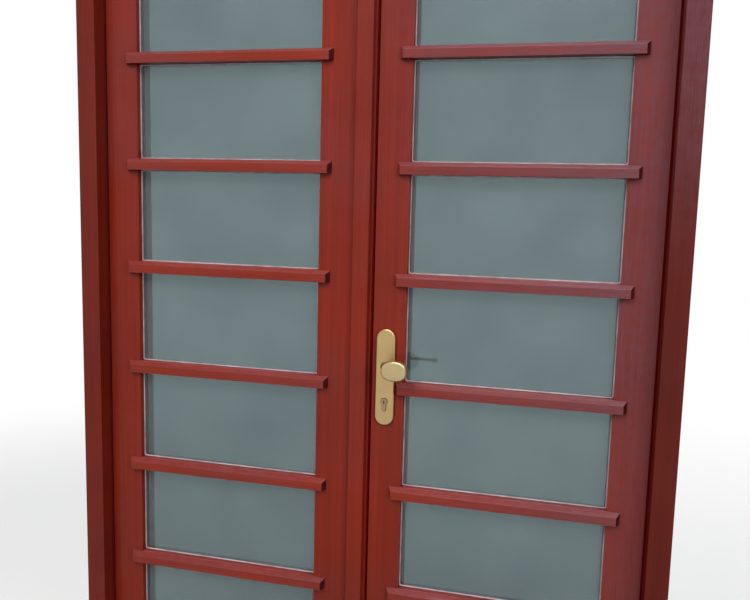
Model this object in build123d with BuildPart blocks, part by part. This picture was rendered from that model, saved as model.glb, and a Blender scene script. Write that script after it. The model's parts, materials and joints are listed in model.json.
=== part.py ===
from build123d import *
from math import hypot, sqrt
import os

os.makedirs("parts", exist_ok=True)

# Inward-opening french doors in their wooden frame. All lengths are millimetres.
# X runs left to right seen from outdoors, Y runs into the house, Z is up.
# The origin is the middle of the sill's underside. The right leaf is the active one.

# Frame
frame_width = 1500.0
frame_height = 2200.0
frame_depth = 88.0
frame_face = 51.0  # width of the outer lip, seen from outdoors
rebate_depth = 30.0  # from the frame's back to the lip
frame_rebate = 9.0  # step from the lip's edge to the rebate's face
sill_height = 33.0
sill_fall = 8.0  # slope of the sill's weathering
frame_tenon = 30.0
frame_tenon_thickness = 22.0
frame_tenon_margin = 10.0
frame_tenon_setback = 19.0  # from the frame's front

# Leaves
lap_thickness = 18.0
leaf_cheek = 20.0  # the leaf's face in front of its step
lip_gap = 7.0  # shadow gap between the frame's lip and the leaf
gasket_gap = 4.0  # between the frame's rebate and the leaf's step
leaf_step = 12.0  # middle layer beyond the outer layer
leaf_lap = 14.0  # inner lap beyond the middle layer
lap_gap = 4.0  # between the frame's back and the lap
hinge_stile_width = 86.0
active_stile_width = 80.0
passive_stile_width = 136.5
top_rail_width = 90.0
bottom_rail_width = 180.0
active_edge = 33.5  # X of the active leaf's outer arris at the meeting
meeting_clearance = 3.0
tenon_length = 40.0
tenon_thickness = 18.0
tenon_margin = 18.0
tenon_end_gap = 1.0
strip_width = 41.0
strip_proud = 16.0
strip_setback = 5.7  # from the passive leaf's edge
strip_radius = 4.0

# Glazing
glass_recess = 18.0
glass_rebate = 14.0
glass_cover = 12.0  # glass held behind the lip
pane_thickness = 4.0
cavity = 16.0
spacer_height = 7.0
spacer_inset = 4.0
bead_width = 18.0
bead_chamfer = 6.0
mitre_gap = 0.15
sealant_size = 4.0
sealant_slope = 40.0

# Bars across the glass
bar_count = 6
bar_height = 30.0
bar_face = 21.0
bar_proud = 15.0
bar_lap = 30.0
bar_bevel = 8.0
bar_bevel_depth = 13.0
bar_arris = 1.0
bar_plate_gap = 2.0  # between a shortened bar and the handle's plate

# Hinges
hinge_end = 272.0  # from the leaf's ends to the outer hinges
knuckle_radius = 8.0
knuckle_length = 38.0
knuckle_gap = 1.0  # from the lap's edge
pin_radius = 4.0
pin_length = 30.0
pin_clearance = 0.05
bearing_gap = 0.3
flag_thickness = 3.0
flag_height = 30.0
flag_length = 36.0  # how deep a flag sits in the wood

# Gasket
gasket_width = 6.0
gasket_margin = 1.5
gasket_play = 0.3
gasket_round = 1.2

# Handle set and lock
backset = 35.0
spindle_height = 1056.0
cylinder_drop = 88.0
plate_width = 47.5
plate_above = 92.0  # plate's top above the spindle
plate_below = 60.0  # plate's bottom below the cylinder's line
plate_thickness = 9.0
plate_edge = 2.5
screw_margin = 14.0
screw_radius = 2.5
screw_head_radius = 4.5
screw_head_depth = 2.5
knob_width = 64.0
knob_height = 50.0
knob_thickness = 22.0
knob_offset = 33.0
knob_standoff = 34.0  # plate's face to the knob's back
knob_neck = 12.0
knob_front_bevel = 8.0
lever_length = 102.0
lever_standoff = 40.0
lever_neck = 9.0
lever_bar = 4.6  # radius of the grip
lever_ball = 7.5  # radius of the head at its end, which is as long as it is wide
spindle_size = 8.0
play = 0.3  # plain clearance round sliding pieces
running = 0.05  # radial clearance of turning pieces
case_depth = 51.0
case_thickness = 15.0
case_above = 68.0  # case's top above the spindle
case_below = 124.0
faceplate_width = 20.0
faceplate_thickness = 3.0
faceplate_end = 45.0  # from the leaf's ends
rod_width = 10.0
rod_thickness = 8.0
rod_travel = 18.0
rod_engagement = 25.0  # length of a rod inside the gear case
bolt_width = 12.0
bolt_height = 22.0
bolt_length = 38.0
bolt_throw = 20.0
bolt_drop = 42.0  # centre bolt's middle below the spindle
bolt_keep_height = 66.0
cylinder_radius = 8.5
cylinder_foot = 5.0
cylinder_height = 33.0
cylinder_proud = 2.0
plug_radius = 6.5
plug_length = 30.0
keyway_width = 2.2
keyway_height = 8.0
keyway_depth = 20.0

# Edge bolts of the passive leaf, and the keeps
edge_bolt_radius = 5.0
edge_bolt_length = 250.0
edge_plate_length = 160.0
edge_bolt_inset = 13.0  # rod's axis behind the leaf's edge
thumb_size = 10.0
keep_thickness = 2.0
keep_length = 84.0
keep_width = 24.0
keep_hole = 14.0
keep_depth = 16.0
tip_gap = 1.0  # resting bolt below the leaf's end

# Planes across the depth
frame_front = -frame_depth / 2
frame_back = frame_depth / 2
lip_back = frame_back - rebate_depth
step_front = lip_back + gasket_gap
leaf_front = step_front - leaf_cheek
lap_front = frame_back + lap_gap
leaf_back = lap_front + lap_thickness
glass_front = leaf_front + glass_recess
glass_back = glass_front + 2 * pane_thickness + cavity
bolt_y = (step_front + lap_front) / 2
frame_tenon_y = (
    frame_front + frame_tenon_setback,
    frame_front + frame_tenon_setback + frame_tenon_thickness,
)

# Lines across the width
jamb_x = frame_width / 2
lip_x = jamb_x - frame_face
rebate_x = lip_x + frame_rebate
leaf_x = lip_x - lip_gap
step_x = leaf_x + leaf_step
lap_x = step_x + leaf_lap
pin_x = lap_x + knuckle_gap + knuckle_radius
pin_y = (lap_front + leaf_back) / 2

# Heights
head_lip_z = frame_height - frame_face
head_rebate_z = head_lip_z + frame_rebate
leaf_top = head_lip_z - lip_gap
step_top = leaf_top + leaf_step
lap_top = step_top + leaf_lap
sill_rebate_z = sill_height - frame_rebate
leaf_bottom = sill_height + lip_gap
step_bottom = leaf_bottom - leaf_step
glass_low = leaf_bottom + bottom_rail_width
glass_high = leaf_top - top_rail_width
pane_height = (glass_high - glass_low - bar_count * bar_height) / (bar_count + 1)
head_tenon_z = (head_lip_z + frame_tenon_margin, frame_height - frame_tenon_margin)
sill_tenon_z = (sill_rebate_z - 2 * frame_tenon_margin, sill_rebate_z)
top_tenon_z = (glass_high + glass_rebate + tenon_margin, leaf_top - tenon_margin)
bottom_tenon_z = (step_bottom + tenon_margin, glass_low - glass_rebate - tenon_margin)
hinge_heights = (
    step_bottom + hinge_end,
    (step_bottom + step_top) / 2,
    step_top - hinge_end,
)
knuckle_shift = (knuckle_length + bearing_gap) / 2

# The meeting edges are bevelled so that each leaf swings clear of the other one
swing_depth = pin_y - leaf_front
active_back = pin_x - hypot(pin_x - active_edge, swing_depth)
passive_back = active_back - meeting_clearance
passive_edge = sqrt((pin_x + passive_back) ** 2 - swing_depth**2) - pin_x

# Edges of the visible glass
active_glass = (active_edge + active_stile_width, leaf_x - hinge_stile_width)
passive_glass = (hinge_stile_width - leaf_x, passive_edge - passive_stile_width)

# Handle set
gear_face = (active_edge + active_back) / 2
gear_back = gear_face + faceplate_thickness
spindle_x = gear_face + backset
cylinder_z = spindle_height - cylinder_drop
plate_top = spindle_height + plate_above
plate_bottom = cylinder_z - plate_below
screw_heights = (plate_bottom + screw_margin, plate_top - screw_margin)
outer_plate_face = leaf_front - plate_thickness
inner_plate_face = leaf_back + plate_thickness
case_top = spindle_height + case_above
case_bottom = spindle_height - case_below
rod_x = gear_back + play + rod_thickness / 2
bolt_z = spindle_height - bolt_drop
edge_rod_x = passive_edge - edge_bolt_inset
lever_y = inner_plate_face + lever_standoff
spindle_back = leaf_back + lever_standoff / 2
knob_back = outer_plate_face - knob_standoff
knob_x = spindle_x + knob_offset
cylinder_front = outer_plate_face - cylinder_proud
cylinder_back = inner_plate_face + cylinder_proud
screw_reach = inner_plate_face - screw_head_depth - leaf_front + plate_thickness / 2


def block(x, y, z, mode=Mode.ADD):
    """A box between two limits on each axis, in the part being built."""
    size = (x[1] - x[0], y[1] - y[0], z[1] - z[0])
    with Locations(((x[0] + x[1]) / 2, (y[0] + y[1]) / 2, (z[0] + z[1]) / 2)):
        return Box(*size, mode=mode)


def span(centre, width):
    return (centre - width / 2, centre + width / 2)


def ordered(a, b):
    return (min(a, b), max(a, b))


def frame_jamb(side):
    """A rebated jamb with mortises for head and sill, and slots for the hinges' flags."""
    with BuildPart() as jamb:
        with BuildSketch(Plane.XY) as section:
            with BuildLine():
                Polyline(
                    (side * lip_x, frame_front),
                    (side * jamb_x, frame_front),
                    (side * jamb_x, frame_back),
                    (side * rebate_x, frame_back),
                    (side * rebate_x, lip_back),
                    (side * lip_x, lip_back),
                    close=True,
                )
            make_face()
        extrude(section.sketch, amount=frame_height)
        mortise_x = ordered(side * lip_x, side * (lip_x + frame_tenon + tenon_end_gap))
        block(mortise_x, frame_tenon_y, head_tenon_z, Mode.SUBTRACT)
        block(mortise_x, frame_tenon_y, sill_tenon_z, Mode.SUBTRACT)
        slot_y = (frame_back - flag_length - tenon_end_gap, frame_back)
        slot_x = span(side * pin_x, flag_thickness + 2 * running)
        for z in hinge_heights:
            block(slot_x, slot_y, span(z - knuckle_shift, flag_height + 2 * running), Mode.SUBTRACT)
    return jamb


frame_left_jamb = frame_jamb(-1)
frame_right_jamb = frame_jamb(1)

keep_x = span((edge_rod_x + rod_x) / 2, keep_length)
keep_y = span(bolt_y, keep_width)


def sockets(z):
    """Square sockets that the four rod ends enter."""
    for x in (edge_rod_x, rod_x):
        block(span(x, keep_hole), span(bolt_y, keep_hole), z, Mode.SUBTRACT)


with BuildPart() as frame_head:
    block((-lip_x, lip_x), (frame_front, lip_back), (head_lip_z, frame_height))
    block((-lip_x - frame_tenon, lip_x + frame_tenon), frame_tenon_y, head_tenon_z)

# The head and the sill are each glued up from an outer and an inner layer; the inner one holds the keep
with BuildPart() as frame_head_backing:
    block((-rebate_x, rebate_x), (lip_back, frame_back), (head_rebate_z, frame_height))
    block(keep_x, keep_y, (head_rebate_z, head_rebate_z + keep_thickness), Mode.SUBTRACT)
    sockets((head_rebate_z, head_rebate_z + keep_depth))

with BuildPart() as frame_sill:
    with BuildSketch(Plane.YZ.offset(-lip_x)) as sill_lip:
        with BuildLine():
            Polyline(
                (frame_front, 0),
                (lip_back, 0),
                (lip_back, sill_height),
                (leaf_front, sill_height),
                (frame_front, sill_height - sill_fall),
                close=True,
            )
        make_face()
    extrude(sill_lip.sketch, amount=2 * lip_x)
    block((-lip_x - frame_tenon, lip_x + frame_tenon), frame_tenon_y, sill_tenon_z)

with BuildPart() as frame_sill_backing:
    block((-rebate_x, rebate_x), (lip_back, frame_back), (0, sill_rebate_z))
    block(keep_x, keep_y, (sill_rebate_z - keep_thickness, sill_rebate_z), Mode.SUBTRACT)
    sockets((sill_rebate_z - keep_depth, sill_rebate_z))


def keep_plate(z):
    """A keep let in flush, with one opening for each leaf's rod."""
    with BuildPart() as keep:
        block(keep_x, keep_y, z)
        sockets(z)
    return keep


head_keep = keep_plate((head_rebate_z, head_rebate_z + keep_thickness))
sill_keep = keep_plate((sill_rebate_z - keep_thickness, sill_rebate_z))

with BuildPart() as frame_gasket:
    with BuildSketch(Plane.XZ.offset(-lip_back)) as ring:
        gasket_out_x = rebate_x - gasket_margin
        gasket_high = head_rebate_z - gasket_margin
        gasket_low = sill_rebate_z + gasket_margin
        with Locations((0, (gasket_high + gasket_low) / 2)):
            Rectangle(2 * gasket_out_x, gasket_high - gasket_low)
            Rectangle(
                2 * (gasket_out_x - gasket_width),
                gasket_high - gasket_low - 2 * gasket_width,
                mode=Mode.SUBTRACT,
            )
    extrude(ring.sketch, amount=-(gasket_gap - gasket_play))
    nose = frame_gasket.faces().sort_by(Axis.Y)[-1]
    chamfer(nose.edges(), gasket_round)


def trim_leaf_ends():
    """The steps of a leaf's top and bottom edges, cut across whatever is being built."""
    with BuildSketch(Plane.YZ, mode=Mode.PRIVATE) as steps:
        with BuildLine():
            Polyline(
                (leaf_front, leaf_top),
                (step_front, leaf_top),
                (step_front, step_top),
                (lap_front, step_top),
                (lap_front, lap_top),
                (leaf_front, lap_top),
                close=True,
            )
        make_face()
        with BuildLine():
            Polyline(
                (leaf_front, step_bottom),
                (step_front, step_bottom),
                (step_front, leaf_bottom),
                (leaf_front, leaf_bottom),
                close=True,
            )
        make_face()
    extrude(steps.sketch, amount=frame_width, both=True, mode=Mode.SUBTRACT)


def cut_mortises(edge, direction):
    """Mortises for both rails' tenons, from the rebate's floor into a stile."""
    x = ordered(edge, edge + direction * (tenon_length + tenon_end_gap))
    for z in (top_tenon_z, bottom_tenon_z):
        block(x, tenon_y, z, Mode.SUBTRACT)


tenon_y = span((glass_front + leaf_back) / 2, tenon_thickness)


def hinge_stile(side):
    """A hinge stile: stepped outer edge, glazing rebate, mortises and slots for the hinges' flags."""
    glass_edge = leaf_x - hinge_stile_width
    rebate_edge = glass_edge + glass_rebate
    with BuildPart() as stile:
        with BuildSketch(Plane.XY.offset(step_bottom)) as section:
            with BuildLine():
                Polyline(
                    (side * glass_edge, leaf_front),
                    (side * leaf_x, leaf_front),
                    (side * leaf_x, step_front),
                    (side * step_x, step_front),
                    (side * step_x, lap_front),
                    (side * lap_x, lap_front),
                    (side * lap_x, leaf_back),
                    (side * rebate_edge, leaf_back),
                    (side * rebate_edge, glass_front),
                    (side * glass_edge, glass_front),
                    close=True,
                )
            make_face()
        extrude(section.sketch, amount=lap_top - step_bottom)
        trim_leaf_ends()
        cut_mortises(side * rebate_edge, side)
        slot_x = ordered(side * lap_x, side * (lap_x - flag_length - tenon_end_gap))
        slot_y = span(pin_y, flag_thickness + 2 * running)
        for z in hinge_heights:
            block(slot_x, slot_y, span(z + knuckle_shift, flag_height + 2 * running), Mode.SUBTRACT)
    return stile


left_hinge_stile = hinge_stile(-1)
right_hinge_stile = hinge_stile(1)


def edge_plate_z(end):
    """Heights of an edge bolt's plate, near the top or the bottom of the passive leaf."""
    if end > 0:
        return ordered(step_top - edge_bolt_length, step_top - edge_bolt_length + edge_plate_length)
    return ordered(step_bottom + edge_bolt_length, step_bottom + edge_bolt_length - edge_plate_length)


def thumb_slot_z(end):
    """The slot that the thumb piece slides in."""
    z = edge_plate_z(end)
    middle = (z[0] + z[1]) / 2 + end * rod_travel / 2
    return span(middle, thumb_size + rod_travel + 2 * play)


edge_plate_x = (passive_edge - faceplate_thickness, passive_edge)
edge_plate_y = span(bolt_y, faceplate_width)
bolt_keep_z = span(bolt_z, bolt_keep_height)

with BuildPart() as left_meeting_stile:
    with BuildSketch(Plane.XY.offset(step_bottom)) as passive_section:
        with BuildLine():
            Polyline(
                (passive_glass[1], leaf_front),
                (passive_edge, leaf_front),
                (passive_back, leaf_back),
                (passive_glass[1] + glass_rebate, leaf_back),
                (passive_glass[1] + glass_rebate, glass_front),
                (passive_glass[1], glass_front),
                close=True,
            )
        make_face()
    extrude(passive_section.sketch, amount=lap_top - step_bottom)
    trim_leaf_ends()
    cut_mortises(passive_glass[1] + glass_rebate, 1)
    for end, rod_end in ((1, step_top), (-1, step_bottom)):
        plate_z = edge_plate_z(end)
        slot_z = thumb_slot_z(end)
        block((edge_plate_x[0], jamb_x), edge_plate_y, plate_z, Mode.SUBTRACT)
        block((edge_rod_x, edge_plate_x[1]), span(bolt_y, thumb_size + 2 * play), slot_z, Mode.SUBTRACT)
        bore_start = rod_end - end * (edge_bolt_length + 2 * tip_gap)
        with BuildSketch(Plane.XY.offset(bore_start), mode=Mode.PRIVATE) as rod_bore:
            with Locations((edge_rod_x, bolt_y)):
                Circle(edge_bolt_radius + running)
        extrude(rod_bore.sketch, amount=rod_end - bore_start, dir=(0, 0, 1), mode=Mode.SUBTRACT)
    block((edge_plate_x[0], jamb_x), edge_plate_y, bolt_keep_z, Mode.SUBTRACT)
    block(
        (gear_face - bolt_throw - tip_gap - play, passive_edge),
        span(bolt_y, bolt_width + 2 * tip_gap),
        span(bolt_z, bolt_height + 2 * tip_gap),
        Mode.SUBTRACT,
    )

with BuildPart() as left_bolt_keep:
    block(edge_plate_x, edge_plate_y, bolt_keep_z)
    block(
        edge_plate_x,
        span(bolt_y, bolt_width + 2 * tip_gap),
        span(bolt_z, bolt_height + 2 * tip_gap),
        Mode.SUBTRACT,
    )

with BuildPart() as edge_bolt_plates:
    for end in (1, -1):
        block(edge_plate_x, edge_plate_y, edge_plate_z(end))
        slot = span(bolt_y, thumb_size + 2 * play)
        block(edge_plate_x, slot, thumb_slot_z(end), Mode.SUBTRACT)


def edge_bolt(end):
    """A rod with a thumb piece, resting just inside the leaf's end."""
    tip = (step_top if end > 0 else step_bottom) - end * tip_gap
    slot_z = thumb_slot_z(end)
    thumb_z = (slot_z[0] if end > 0 else slot_z[1]) + end * (thumb_size / 2 + play)
    with BuildPart() as bolt:
        with BuildSketch(Plane.XY.offset(tip)) as section:
            with Locations((edge_rod_x, bolt_y)):
                Circle(edge_bolt_radius)
        extrude(section.sketch, amount=-end * edge_bolt_length, dir=(0, 0, 1))
        chamfer(bolt.edges().filter_by(GeomType.CIRCLE).group_by(Axis.Z)[-1 if end > 0 else 0], tip_gap)
        block((edge_rod_x, passive_edge - tip_gap), span(bolt_y, thumb_size), span(thumb_z, thumb_size))
    return bolt


top_edge_bolt = edge_bolt(1)
bottom_edge_bolt = edge_bolt(-1)

with BuildPart() as cover_strip:
    strip_x = (passive_edge - strip_setback - strip_width, passive_edge - strip_setback)
    block(strip_x, (leaf_front - strip_proud, leaf_front), (leaf_bottom, leaf_top))
    front_face = cover_strip.faces().sort_by(Axis.Y)[0]
    fillet(front_face.edges().filter_by(Axis.Z), strip_radius)


def euro_profile(clearance=0.0):
    """The profile of a lock cylinder, with its plug's axis on the lock's line."""
    Circle(cylinder_radius + clearance)
    foot = cylinder_height - cylinder_radius - cylinder_foot
    with Locations((0, -foot / 2)):
        Rectangle(2 * (cylinder_foot + clearance), foot)
    with Locations((0, -foot)):
        Circle(cylinder_foot + clearance)


case_x = (gear_back, gear_back + case_depth)
case_y = span(bolt_y, case_thickness)
case_z = (case_bottom, case_top)
rod_channel_x = (gear_back, gear_back + rod_thickness + 2 * play)
rod_channel_y = span(bolt_y, rod_width + 2 * play)
faceplate_z = (step_bottom + faceplate_end, step_top - faceplate_end)

with BuildPart() as right_meeting_stile:
    with BuildSketch(Plane.XY.offset(step_bottom)) as active_section:
        with BuildLine():
            Polyline(
                (active_edge, leaf_front),
                (active_glass[0], leaf_front),
                (active_glass[0], glass_front),
                (active_glass[0] - glass_rebate, glass_front),
                (active_glass[0] - glass_rebate, leaf_back),
                (active_back, leaf_back),
                close=True,
            )
        make_face()
    extrude(active_section.sketch, amount=lap_top - step_bottom)
    trim_leaf_ends()
    cut_mortises(active_glass[0] - glass_rebate, -1)
    block((0, gear_back), span(bolt_y, faceplate_width), faceplate_z, Mode.SUBTRACT)
    block(rod_channel_x, rod_channel_y, (step_bottom, step_top), Mode.SUBTRACT)
    block(
        (gear_back, case_x[1] + play),
        (case_y[0] - play, case_y[1] + play),
        (case_z[0] - play, case_z[1] + play),
        Mode.SUBTRACT,
    )
    with BuildSketch(Plane.XZ.offset(-leaf_back), mode=Mode.PRIVATE) as neck_hole:
        with Locations((spindle_x, spindle_height)):
            Circle(lever_neck + tip_gap)
    extrude(neck_hole.sketch, amount=leaf_back - bolt_y, mode=Mode.SUBTRACT)
    with BuildSketch(Plane.XZ.offset(-leaf_back), mode=Mode.PRIVATE) as lock_holes:
        with Locations((spindle_x, cylinder_z)):
            euro_profile(tip_gap)
        for z in screw_heights:
            with Locations((spindle_x, z)):
                Circle(screw_radius + play)
    extrude(lock_holes.sketch, amount=leaf_back - leaf_front, mode=Mode.SUBTRACT)

top_rail_layers = [
    (glass_front, glass_high + glass_rebate),
    (glass_front, leaf_top),
    (step_front, leaf_top),
    (step_front, step_top),
    (lap_front, step_top),
    (lap_front, lap_top),
    (leaf_back, lap_top),
    (leaf_back, glass_high + glass_rebate),
]
bottom_rail_layers = [
    (glass_front, glass_low - glass_rebate),
    (glass_front, leaf_bottom),
    (step_front, leaf_bottom),
    (step_front, step_bottom),
    (leaf_back, step_bottom),
    (leaf_back, glass_low - glass_rebate),
]


def rail(glass, layers, face_z, tenon_z):
    """A rail between two stiles: its lip fits between their lips, its body between their rebates."""
    body = (glass[0] - glass_rebate, glass[1] + glass_rebate)
    with BuildPart() as member:
        with BuildSketch(Plane.YZ.offset(body[0])) as section:
            with BuildLine():
                Polyline(*layers, close=True)
            make_face()
        extrude(section.sketch, amount=body[1] - body[0])
        block(glass, (leaf_front, glass_front), face_z)
        block((body[0] - tenon_length, body[1] + tenon_length), tenon_y, tenon_z)
    return member


left_top_rail = rail(passive_glass, top_rail_layers, (glass_high, leaf_top), top_tenon_z)
left_bottom_rail = rail(passive_glass, bottom_rail_layers, (leaf_bottom, glass_low), bottom_tenon_z)
right_top_rail = rail(active_glass, top_rail_layers, (glass_high, leaf_top), top_tenon_z)
right_bottom_rail = rail(active_glass, bottom_rail_layers, (leaf_bottom, glass_low), bottom_tenon_z)


def glass_pane(glass, front):
    """One sheet of the double glazing, with its back edges behind the lips."""
    with BuildPart() as sheet:
        x = (glass[0] - glass_cover, glass[1] + glass_cover)
        z = (glass_low - glass_cover, glass_high + glass_cover)
        block(x, (front, front + pane_thickness), z)
    return sheet


def glass_spacer(glass):
    """The hollow-section spacer between two sheets, drawn as its outer form."""
    with BuildPart() as spacer:
        width = glass[1] - glass[0] + 2 * (glass_cover - spacer_inset)
        height = glass_high - glass_low + 2 * (glass_cover - spacer_inset)
        with BuildSketch(Plane.XZ.offset(-glass_front - pane_thickness)) as ring:
            with Locations(((glass[0] + glass[1]) / 2, (glass_low + glass_high) / 2)):
                Rectangle(width, height)
                Rectangle(width - 2 * spacer_height, height - 2 * spacer_height, mode=Mode.SUBTRACT)
        extrude(ring.sketch, amount=-cavity)
    return spacer


def glazing_bead(glass, side):
    """One bead of four, from the glass to the leaf's inner face, with a hairline gap at its mitres."""
    half_w = (glass[1] - glass[0]) / 2 + glass_rebate
    half_h = (glass_high - glass_low) / 2 + glass_rebate
    reach, drop = (half_w, half_h) if side % 2 else (half_h, half_w)
    near = reach - mitre_gap
    far = near - bead_width
    middle = Plane(
        origin=((glass[0] + glass[1]) / 2, glass_back, (glass_low + glass_high) / 2),
        x_dir=Vector(1, 0, 0).rotate(Axis.Y, 90 * side),
        z_dir=(0, 1, 0),
    )
    with BuildPart() as bead:
        with BuildSketch(middle) as outline:
            with BuildLine():
                Polyline(
                    (drop, -near),
                    (drop, near),
                    (drop - bead_width, far),
                    (drop - bead_width, -far),
                    close=True,
                )
            make_face()
        extrude(outline.sketch, amount=leaf_back - glass_back)
        inner_edge = bead.faces().sort_by(Axis.Y)[-1].edges().sort_by(SortBy.LENGTH)[-2]
        chamfer(inner_edge, bead_chamfer)
    return bead.part


def glazing_beads(glass):
    """Four mitred beads that hold the glass from indoors."""
    lengths = [glazing_bead(glass, side) for side in range(4)]
    with BuildPart() as beads:
        add(lengths)
    return beads


def bar_low(index):
    """Height of a bar's underside, counted from the top one."""
    return glass_high - index * (pane_height + bar_height)


def glass_bar(glass, index):
    """A bar laid over the stiles, weathered on top and bevelled at its ends, that reaches back to the glass."""
    z = bar_low(index)
    front = leaf_front - bar_proud
    x = (glass[0] - bar_lap, glass[1] + bar_lap)
    beside_plate = plate_bottom - bar_height < z < plate_top
    if glass == active_glass and beside_plate:
        x = (max(x[0], spindle_x + plate_width / 2 + bar_plate_gap), x[1])
    with BuildPart() as bar:
        with BuildSketch(Plane.YZ.offset(x[0])) as section:
            with BuildLine():
                Polyline(
                    (front, z),
                    (leaf_front, z),
                    (leaf_front, z + bar_height),
                    (front, z + bar_face),
                    close=True,
                )
            make_face()
        extrude(section.sketch, amount=x[1] - x[0])
        ends = bar.faces().sort_by(Axis.Y)[0].edges().filter_by(Axis.Z)
        chamfer(ends, bar_bevel, bar_bevel_depth, reference=bar.faces().sort_by(Axis.Y)[0])
        chamfer(bar.faces().sort_by(Axis.Y)[0].edges().filter_by(Axis.X), bar_arris)
        block(glass, (leaf_front, glass_front), (z, z + bar_height))
    return bar.part


def glass_bars(glass):
    """The bars of one leaf, from the top one down."""
    lengths = [glass_bar(glass, index + 1) for index in range(bar_count)]
    with BuildPart() as bars:
        add(lengths)
    return bars


def glass_sealant(glass):
    """A sloping fillet of sealant round the outside of each light of glass."""
    width = glass[1] - glass[0]
    with BuildPart() as sealant:
        for index in range(bar_count + 1):
            middle_z = glass_high - pane_height / 2 - index * (pane_height + bar_height)
            with BuildSketch(Plane.XZ.offset(-glass_front)) as light:
                with Locations(((glass[0] + glass[1]) / 2, middle_z)):
                    Rectangle(width, pane_height)
            extrude(light.sketch, amount=sealant_size)
            with BuildSketch(Plane.XZ.offset(-glass_front)) as opening:
                with Locations(((glass[0] + glass[1]) / 2, middle_z)):
                    Rectangle(width - 2 * sealant_size, pane_height - 2 * sealant_size)
            extrude(opening.sketch, amount=sealant_size, taper=-sealant_slope, mode=Mode.SUBTRACT)
    return sealant


left_outer_pane = glass_pane(passive_glass, glass_front)
left_inner_pane = glass_pane(passive_glass, glass_back - pane_thickness)
right_outer_pane = glass_pane(active_glass, glass_front)
right_inner_pane = glass_pane(active_glass, glass_back - pane_thickness)
left_glass_spacer = glass_spacer(passive_glass)
right_glass_spacer = glass_spacer(active_glass)
left_glazing_beads = glazing_beads(passive_glass)
right_glazing_beads = glazing_beads(active_glass)
left_sealant = glass_sealant(passive_glass)
right_sealant = glass_sealant(active_glass)
left_bars = glass_bars(passive_glass)
right_bars = glass_bars(active_glass)


def frame_hinge_halves(side):
    """Lower knuckles with their fixed pins, each carried by a flag let into the jamb."""
    with BuildPart() as halves:
        for z in hinge_heights:
            with BuildSketch(Plane.XY.offset(z - bearing_gap / 2)) as knuckle:
                with Locations((side * pin_x, pin_y)):
                    Circle(knuckle_radius)
            extrude(knuckle.sketch, amount=-knuckle_length)
            with BuildSketch(Plane.XY.offset(z - bearing_gap / 2)) as pin:
                with Locations((side * pin_x, pin_y)):
                    Circle(pin_radius)
            extrude(pin.sketch, amount=pin_length + bearing_gap)
            flag_y = (frame_back - flag_length, pin_y)
            block(span(side * pin_x, flag_thickness), flag_y, span(z - knuckle_shift, flag_height))
    return halves


def leaf_hinge_halves(side):
    """Upper knuckles, bored to turn on the pins, each carried by a flag let into the leaf's lap."""
    with BuildPart() as halves:
        for z in hinge_heights:
            with BuildSketch(Plane.XY.offset(z + bearing_gap / 2)) as knuckle:
                with Locations((side * pin_x, pin_y)):
                    Circle(knuckle_radius)
            extrude(knuckle.sketch, amount=knuckle_length)
            flag_x = ordered(side * pin_x, side * (lap_x - flag_length))
            block(flag_x, span(pin_y, flag_thickness), span(z + knuckle_shift, flag_height))
            with BuildSketch(Plane.XY.offset(z + bearing_gap / 2)) as bore:
                with Locations((side * pin_x, pin_y)):
                    Circle(pin_radius + pin_clearance)
            extrude(bore.sketch, amount=pin_length + tip_gap, mode=Mode.SUBTRACT)
    return halves


left_hinge_frame_halves = frame_hinge_halves(-1)
right_hinge_frame_halves = frame_hinge_halves(1)
left_hinge_leaf_halves = leaf_hinge_halves(-1)
right_hinge_leaf_halves = leaf_hinge_halves(1)

with BuildPart() as gear_case:
    block((gear_face, gear_back), span(bolt_y, faceplate_width), faceplate_z)
    block(case_x, case_y, case_z)
    for end_z in ((case_top - rod_engagement - play, case_top), (case_bottom, case_bottom + rod_engagement + play)):
        block(rod_channel_x, rod_channel_y, end_z, Mode.SUBTRACT)
    block(
        (gear_face, gear_face + bolt_length + play),
        span(bolt_y, bolt_width + 2 * play),
        span(bolt_z, bolt_height + 2 * play),
        Mode.SUBTRACT,
    )
    with BuildSketch(Plane.XZ.offset(-case_y[1]), mode=Mode.PRIVATE) as case_holes:
        with Locations((spindle_x, spindle_height)):
            Circle(lever_neck + running)
        with Locations((spindle_x, cylinder_z)):
            euro_profile(play)
    extrude(case_holes.sketch, amount=case_thickness, mode=Mode.SUBTRACT)

with BuildPart() as centre_bolt:
    block((gear_face, gear_face + bolt_length), span(bolt_y, bolt_width), span(bolt_z, bolt_height))
    chamfer(centre_bolt.faces().sort_by(Axis.X)[0].edges(), tip_gap)


def gear_rod(end):
    """A flat rod from the gear case to its bevelled end, resting just inside the leaf's edge."""
    tip = (step_top if end > 0 else step_bottom) - end * tip_gap
    root = (case_top if end > 0 else case_bottom) - end * rod_engagement
    with BuildPart() as rod:
        block(span(rod_x, rod_thickness), span(bolt_y, rod_width), ordered(root, tip))
        chamfer(rod.faces().sort_by(Axis.Z)[-1 if end > 0 else 0].edges(), tip_gap)
    return rod


top_rod = gear_rod(1)
bottom_rod = gear_rod(-1)


def long_plate(back, outward):
    """A long plate with round ends and a bevelled rim, pierced for the cylinder."""
    with BuildPart() as plate:
        with BuildSketch(Plane.XZ.offset(-back)) as outline:
            with Locations((spindle_x, (plate_top + plate_bottom) / 2)):
                SlotOverall(plate_top - plate_bottom, plate_width, rotation=90)
        extrude(outline.sketch, amount=-outward * plate_thickness)
        with BuildSketch(Plane.XZ.offset(-back)) as hole:
            with Locations((spindle_x, cylinder_z)):
                euro_profile(play)
        extrude(hole.sketch, amount=-outward * plate_thickness, mode=Mode.SUBTRACT)
        rim = plate.faces().filter_by(Plane.XZ).sort_by(Axis.Y)[-1 if outward > 0 else 0]
        chamfer(rim.outer_wire().edges(), plate_edge)
    return plate.part


outer_blank = long_plate(leaf_front, -1)
inner_blank = long_plate(leaf_back, 1)


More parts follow.
